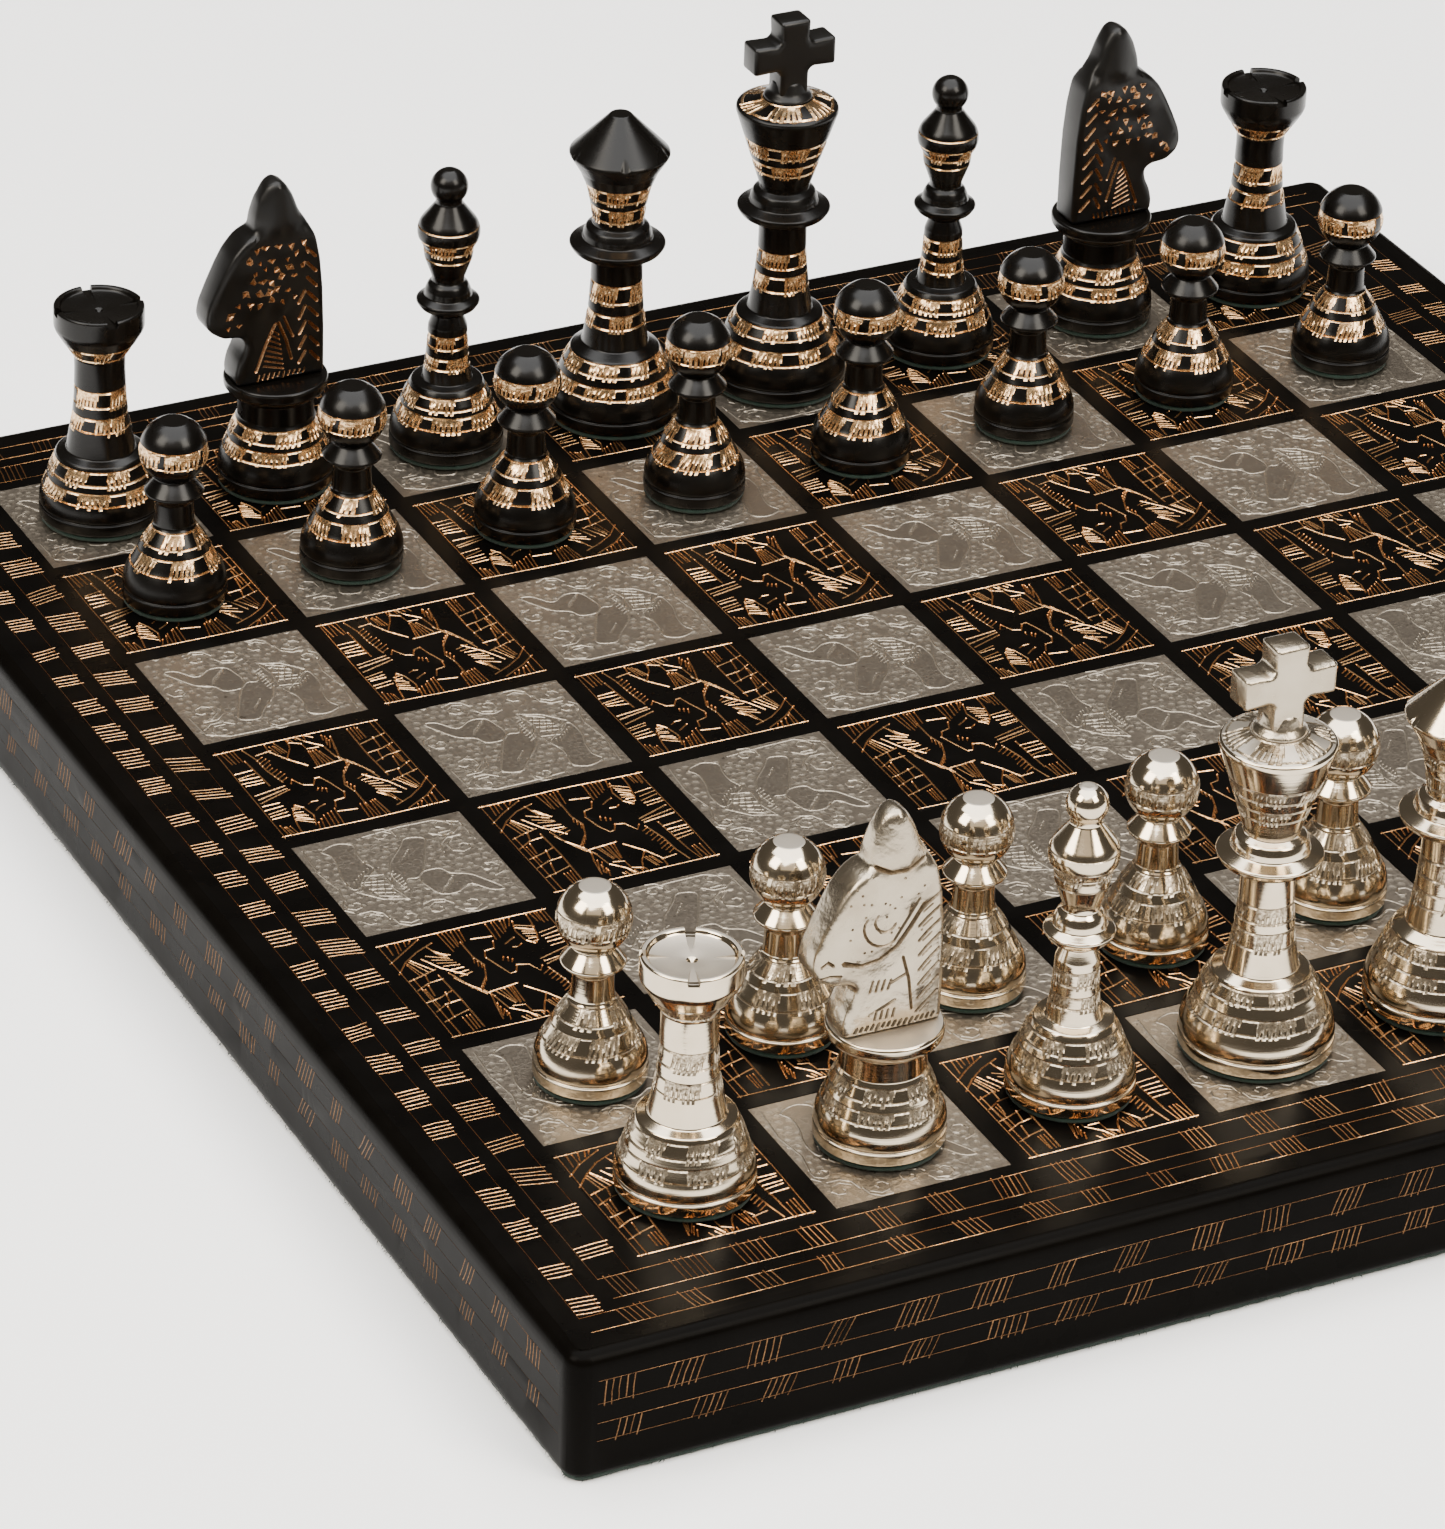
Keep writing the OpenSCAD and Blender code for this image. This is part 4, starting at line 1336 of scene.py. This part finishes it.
def engraved_squares(rank, is_dark):
    """One piece: the four light or the four dark squares of a rank."""
    all_points, groups, first = [], [], 0
    for file in range(8):
        if ((file + rank) % 2 == 1) != is_dark:
            continue
        pick = random.Random(7000 + 10 * rank + file)
        points, faces = closed(*make_square(file, rank, pick, is_dark), first)
        all_points.append(points)
        groups += faces
        first += len(points)
    kind = "dark" if is_dark else "light"
    metals = [BOARD_LACQUER, BOARD_CUT] if is_dark else [ETCHED, ETCHED_CUT, ETCHED_FORM]
    made = build_mesh(f"{kind}_squares_rank_{rank}", np.concatenate(all_points), groups, metals, 16)
    stand_for(made, "board", kind + "_squares")


for rank in range(1, 9):
    engraved_squares(rank, False)
    engraved_squares(rank, True)


# ---- border tracks: two thin lines with blocks of short strokes between them ----

TRACK_LINE_W = 0.10
TRACK_STROKE_W = 0.19
TRACK_D = 0.1


def track(along, low, high, a, b, spacing, start, apart, lean, pick):
    """A track from a to b between the offsets low and high. along(s, v) gives a point of the sheet."""
    over = 0.5
    cuts = []
    for v in (low, high):
        steps = max(2, int((b - a) / 18))
        line = [along(a + (b - a) * i / steps, v + pick.gauss(0, 0.07)) for i in range(steps + 1)]
        cuts.append(stroke(line, TRACK_LINE_W * pick.uniform(0.8, 1.1), TRACK_D * 0.8))
    s = a + start
    while s < b - 2:
        number = pick.choice([4, 5, 5, 6])
        step = apart * pick.uniform(0.92, 1.08)
        tilt = lean + pick.gauss(0, 0.12)
        at = s + pick.gauss(0, 0.25)
        for i in range(number):
            x = at + i * step
            if a + 0.6 < x < b - 0.9:
                foot = low - pick.choice([0.0, 0.1, over, over])
                head = high - pick.choice([0.0, 0.1, 0.2])
                bow = pick.gauss(0, 0.08)
                middle = (foot + head) / 2
                line = [along(x - tilt * (head - foot) / 2, foot), along(x + bow, middle),
                        along(x + tilt * (head - foot) / 2, head)]
                cuts.append(stroke(line, TRACK_STROKE_W * pick.uniform(0.85, 1.2), TRACK_D))
        s += spacing * pick.uniform(0.93, 1.07)
    return cuts


def make_top_plate():
    """The lacquered plate with its windows and the two tracks round its border."""
    half = plate_w / 2
    grid_half = 4 * pitch - gap / 2
    inner = (grid_half + 0.08 * pitch, grid_half + 0.24 * pitch)
    outer = (grid_half + 0.326 * pitch, grid_half + 0.446 * pitch)
    cuts = []
    south, north = (lambda s, v: (s, -v)), (lambda s, v: (s, v))
    west, east = (lambda s, v: (-v, s)), (lambda s, v: (v, s))
    for number, along in enumerate((south, north, west, east)):
        pick = random.Random(310 + number)
        goes_through = number < 2
        spacing, apart = (11.1, 0.95) if goes_through else (10.3, 1.04)
        for low, high, ring in ((*inner, 0), (*outer, 1)):
            reach = high if goes_through else low
            start = 0.6 + 5.5 * (ring if goes_through else 1 - ring)
            cuts += track(along, low, high, -reach, reach, spacing, start, apart, 0.05, pick)
    starts = [(i - 3.5) * pitch - tile_w / 2 for i in range(8)]
    windows = [rectangle(x, x + tile_w, y, y + tile_w) for x in starts for y in starts]
    edge = rectangle(-half, half, -half, half)

    def keep(points):
        x = (points[:, 0] / pitch + 4) % 1 * pitch - pitch / 2
        y = (points[:, 1] / pitch + 4) % 1 * pitch - pitch / 2
        window = (np.abs(x) < tile_w / 2) & (np.abs(y) < tile_w / 2)
        window &= (np.abs(points[:, 0]) < 4 * pitch) & (np.abs(points[:, 1]) < 4 * pitch)
        return ~window & (np.abs(points[:, 0]) < half) & (np.abs(points[:, 1]) < half)

    flat, triangles, depth, mid = engrave([edge, *windows], cuts, keep)
    points = np.column_stack([flat, board_h - depth])
    bottom = points.copy()
    bottom[:, 2] = board_h - sheet_t
    rim = rim_of(triangles)
    n = len(points)
    walls = np.stack([rim[:, 1], rim[:, 0], rim[:, 0] + n, rim[:, 1] + n], axis=-1)
    groups = [(triangles, (mid > LEAST_CUT).astype(int)), (triangles[:, ::-1] + n, 0), (walls, 0)]
    made = build_mesh("engraved_top_plate", np.concatenate([points, bottom]), groups,
                      [BOARD_LACQUER, TRACK_CUT], 20)
    stand_for(made, "board", "top_plate")


make_top_plate()


# The band unrolled: four straight sides and four bends long, and up the wall and over its top.
straight = board_w - 2 * corner_r
bend = math.pi / 2 * corner_r
lap = 4 * (straight + bend)
wall_top = board_h - edge_r
wall_up = wall_top - felt_h
roll = math.pi / 2 * edge_r


def band_cuts():
    """Two tracks along each side."""
    cuts = []
    for side in range(4):
        pick = random.Random(520 + side)
        a = side * (straight + bend) + 1.0
        b = a + straight - 2.0
        for low, high, start in ((7.2, 10.4, 3.0), (13.9, 17.9, 0.5)):
            cuts += track(lambda s, v: (s, v - felt_h), low, high, a, b, 12.3, start, 1.1, 0.34, pick)
    return cuts


def band_guides(levels):
    """Lines along the band at each level, lines up through its bends, and its two ends."""
    guides = [[(0, v), (lap, v)] for v in levels]
    guides += [[(0, 0), (0, levels[-1])], [(lap, 0), (lap, levels[-1])]]
    for side in range(4):
        start = side * (straight + bend) + straight
        guides += [[(start + bend * k / 8, 0), (start + bend * k / 8, levels[-1])] for k in range(9)]
    return guides


def bent_round(u, v, depth):
    """Where points of the unrolled band lie once it is rolled over the top and bent round the board."""
    up = v + felt_h
    turn_over = np.clip((up - wall_top) / roll, 0, 1) * math.pi / 2
    foot_round = 0.5 * np.clip(1 - v / 0.9, 0, 1) ** 2
    step_in = edge_r * (1 - np.cos(turn_over)) + np.clip(up - wall_top - roll, 0, None) + foot_round + depth
    z = np.where(up < wall_top, up, wall_top + edge_r * np.sin(turn_over))
    side = np.minimum((u // (straight + bend)).astype(int), 3)
    s = u - side * (straight + bend)
    swing = np.clip((s - straight) / corner_r, 0, math.pi / 2)
    x = -straight / 2 + np.minimum(s, straight) + (corner_r - step_in) * np.sin(swing)
    y = -board_w / 2 + corner_r - (corner_r - step_in) * np.cos(swing)
    a = side * math.pi / 2
    return np.column_stack([x * np.cos(a) - y * np.sin(a), x * np.sin(a) + y * np.cos(a), z])


def make_edge_band():
    """The engraved band round the sides, with its inner face."""
    levels = [0.0, 0.35, 0.9, wall_up, *(wall_up + roll * k / 5 for k in range(1, 6))]
    levels.append(wall_up + roll + band_t - edge_r)
    loose = [(lap * (i + 0.5) / 160, v) for i in range(160) for v in (1.9, wall_up - 1.2)]
    flat, triangles, depth, mid = engrave(band_guides(levels), band_cuts(),
                                          lambda m: in_box(m, 0, lap, 0, levels[-1]), loose)
    u, v = flat[:, 0], flat[:, 1]
    points = bent_round(u, v, depth)
    # the far end of the strip is joined to its start
    seam = {round(float(q), 4): n for n, (p, q) in enumerate(flat) if p < 1e-6}
    onto = np.arange(len(flat))
    for n in np.flatnonzero(u > lap - 1e-6):
        onto[n] = seam[round(float(v[n]), 4)]
    triangles = onto[triangles]
    below = np.flatnonzero((v < 1e-6) & (u < lap - 1e-6))
    above = np.flatnonzero((v > levels[-1] - 1e-6) & (u < lap - 1e-6))
    below = below[np.argsort(u[below])]
    above = above[np.argsort(u[above])]
    inside_foot = points[above].copy()
    inside_foot[:, 2] = felt_h
    foot = len(points) + np.arange(len(above))
    closing = []
    for a, b in ((foot, below), (above, foot)):
        closing.append(np.stack([a, np.roll(a, -1), np.roll(b, -1), b], axis=-1))
    groups = [(triangles, (mid > LEAST_CUT).astype(int)), (np.concatenate(closing), 0)]
    made = build_mesh("engraved_edge_band", np.concatenate([points, inside_foot]), groups,
                      [SKIRT_LACQUER, SHADED_SKIRT_CUT], 24)
    stand_for(made, "board", "edge_band")


make_edge_band()


def felt_outline():
    """Points about a millimetre apart round the foot of the board."""
    half = span("base_felt")[0] / 2
    r = corner_r - 0.5
    line = []
    for cx, cy, a in ((1, -1, -90), (1, 1, 0), (-1, 1, 90), (-1, -1, 180)):
        line += arc((cx * (half - r), cy * (half - r)), r, a, a + 90, 8)
    path = []
    for p, q in zip(line, line[1:] + line[:1]):
        steps = max(1, int(math.dist(p, q) / 1.2))
        path += [(p[0] + (q[0] - p[0]) * i / steps, p[1] + (q[1] - p[1]) * i / steps) for i in range(steps)]
    return np.array(path)


def fringe(path, out, first, pick):
    """Loose fibres that stand out of the felt's edge: thin spikes with four corners each."""
    points, faces = [], []
    for _ in range(1500):
        k = pick.randrange(len(path))
        base = path[k] + (path[(k + 1) % len(path)] - path[k]) * pick.random()
        away = out[k] + [pick.gauss(0, 0.5), pick.gauss(0, 0.5)]
        length = pick.uniform(0.1, 0.32)
        z = pick.uniform(0.2, felt_h - 0.1)
        tip = np.array([*(base + away * length), max(0.05, z - pick.uniform(-0.1, 0.5))])
        side = np.array([-away[1], away[0]]) * 0.06
        n = first + len(points)
        points += [[*(base + side), z], [*(base - side), z], [*base, z + 0.1], tip]
        faces += [(n, n + 1, n + 3), (n + 1, n + 2, n + 3), (n + 2, n, n + 3), (n, n + 2, n + 1)]
    return points, np.array(faces)


def make_base_felt():
    """The felt under the board, its cut edge fringed with loose fibres."""
    pick = random.Random(5)
    path = felt_outline()
    out = path / np.linalg.norm(path, axis=1)[:, None]
    rows = []
    for push, z in ((-0.9, 0.0), (-0.4, 0.1), (-0.3, felt_h * 0.5), (-0.4, felt_h - 0.05), (-2.0, felt_h)):
        ragged = np.array([pick.gauss(0, 0.05) for _ in path]) if -0.5 < push else np.zeros(len(path))
        rows.append(np.column_stack([path + out * (push + ragged)[:, None], np.full(len(path), z)]))
    points = np.concatenate([[[0, 0, 0]], *rows, [[0, 0, felt_h]]])
    fibres, fibre_faces = fringe(path, out, len(points), pick)
    points = np.concatenate([points, fibres])
    points[:, :2] = np.clip(points[:, :2], -board_w / 2, board_w / 2)
    groups = [(faces, 0) for faces in (*round_faces(len(rows), len(path)), fibre_faces)]
    made = build_mesh("fringed_base_felt", points, groups, [FELT], 80)
    stand_for(made, "board", "base_felt")


make_base_felt()

core = frame["nodes"]["wood_core"]
core.data.materials.clear()
core.data.materials.append(CORE)


# ---- floor, light and camera ----

def make_floor():
    look = Look("pale_floor")
    look.put("Base Color", look.mixed(look.noise(3.0), (0.95, 0.95, 0.95), (0.97, 0.97, 0.965)))
    look.put("Roughness", 0.9)
    look.put("Specular IOR Level", 0.1)
    reach, under = 6.0, -0.0002
    corner_points = [(x, y, under) for x, y in rectangle(-reach, reach, -reach, reach)[:4]]
    mesh = bpy.data.meshes.new("floor")
    mesh.from_pydata(corner_points, [], [(0, 1, 2, 3)])
    mesh.materials.append(look.made)
    floor = bpy.data.objects.new("floor", mesh)
    bpy.context.scene.collection.objects.link(floor)


def softbox(name, azimuth, elevation, distance, width, height, power, colour=(1, 1, 1)):
    """A square light aimed at the board. Azimuth 0 is on the near side, 90 to the right."""
    light = bpy.data.lights.new(name, "AREA")
    light.shape = "RECTANGLE"
    light.size, light.size_y = width, height
    light.energy = power
    light.color = colour
    made = bpy.data.objects.new(name, light)
    a, e = math.radians(azimuth), math.radians(elevation)
    back = Vector((math.sin(a) * math.cos(e), -math.cos(a) * math.cos(e), math.sin(e)))
    made.location = back * distance + Vector((0, 0, board_h * MM))
    made.rotation_mode = "QUATERNION"
    made.rotation_quaternion = (-back).to_track_quat("-Z", "Y")
    bpy.context.scene.collection.objects.link(made)


make_floor()
world = bpy.data.worlds.new("studio")
bpy.context.scene.world = world
world.use_nodes = True
background = world.node_tree.nodes["Background"]
background.inputs["Color"].default_value = (1.0, 0.90, 0.77, 1)
background.inputs["Strength"].default_value = 0.11
WINDOW_COLOUR = (1.0, 0.93, 0.82)
softbox("overhead", 0, 88, 2.2, 3.0, 3.0, 175)
softbox("window_left", -84, 42, 1.7, 0.8, 0.8, 26, WINDOW_COLOUR)
softbox("window_right", 24, 42, 1.7, 0.7, 0.8, 22, WINDOW_COLOUR)
softbox("fill", -30, 46, 2.0, 1.5, 0.9, 4.2, (1.0, 0.88, 0.72))

VIEW_AZIMUTH = 27.427
VIEW_ELEVATION = 30.205
VIEW_ROLL = 2.068
VIEW_DISTANCE = 1.2315
VIEW_ASIDE = (-0.0549, -0.0053)
LENS = 173.9

camera = bpy.data.objects.new("camera", bpy.data.cameras.new("camera"))
camera.data.lens = LENS
camera.data.sensor_width = 36
camera.data.clip_start = 0.05
camera.data.clip_end = 30
bpy.context.scene.collection.objects.link(camera)
bpy.context.scene.camera = camera
az, el = math.radians(VIEW_AZIMUTH), math.radians(VIEW_ELEVATION)
ahead = Vector((math.sin(az) * math.cos(el), math.cos(az) * math.cos(el), -math.sin(el)))
target = Vector((*VIEW_ASIDE, board_h * MM))
level = ahead.to_track_quat("-Z", "Y").to_matrix()
camera.matrix_world = Matrix.Translation(target - ahead * VIEW_DISTANCE) @ (
    level @ Matrix.Rotation(math.radians(VIEW_ROLL), 3, "Z")).to_4x4()

bpy.context.view_layer.update()
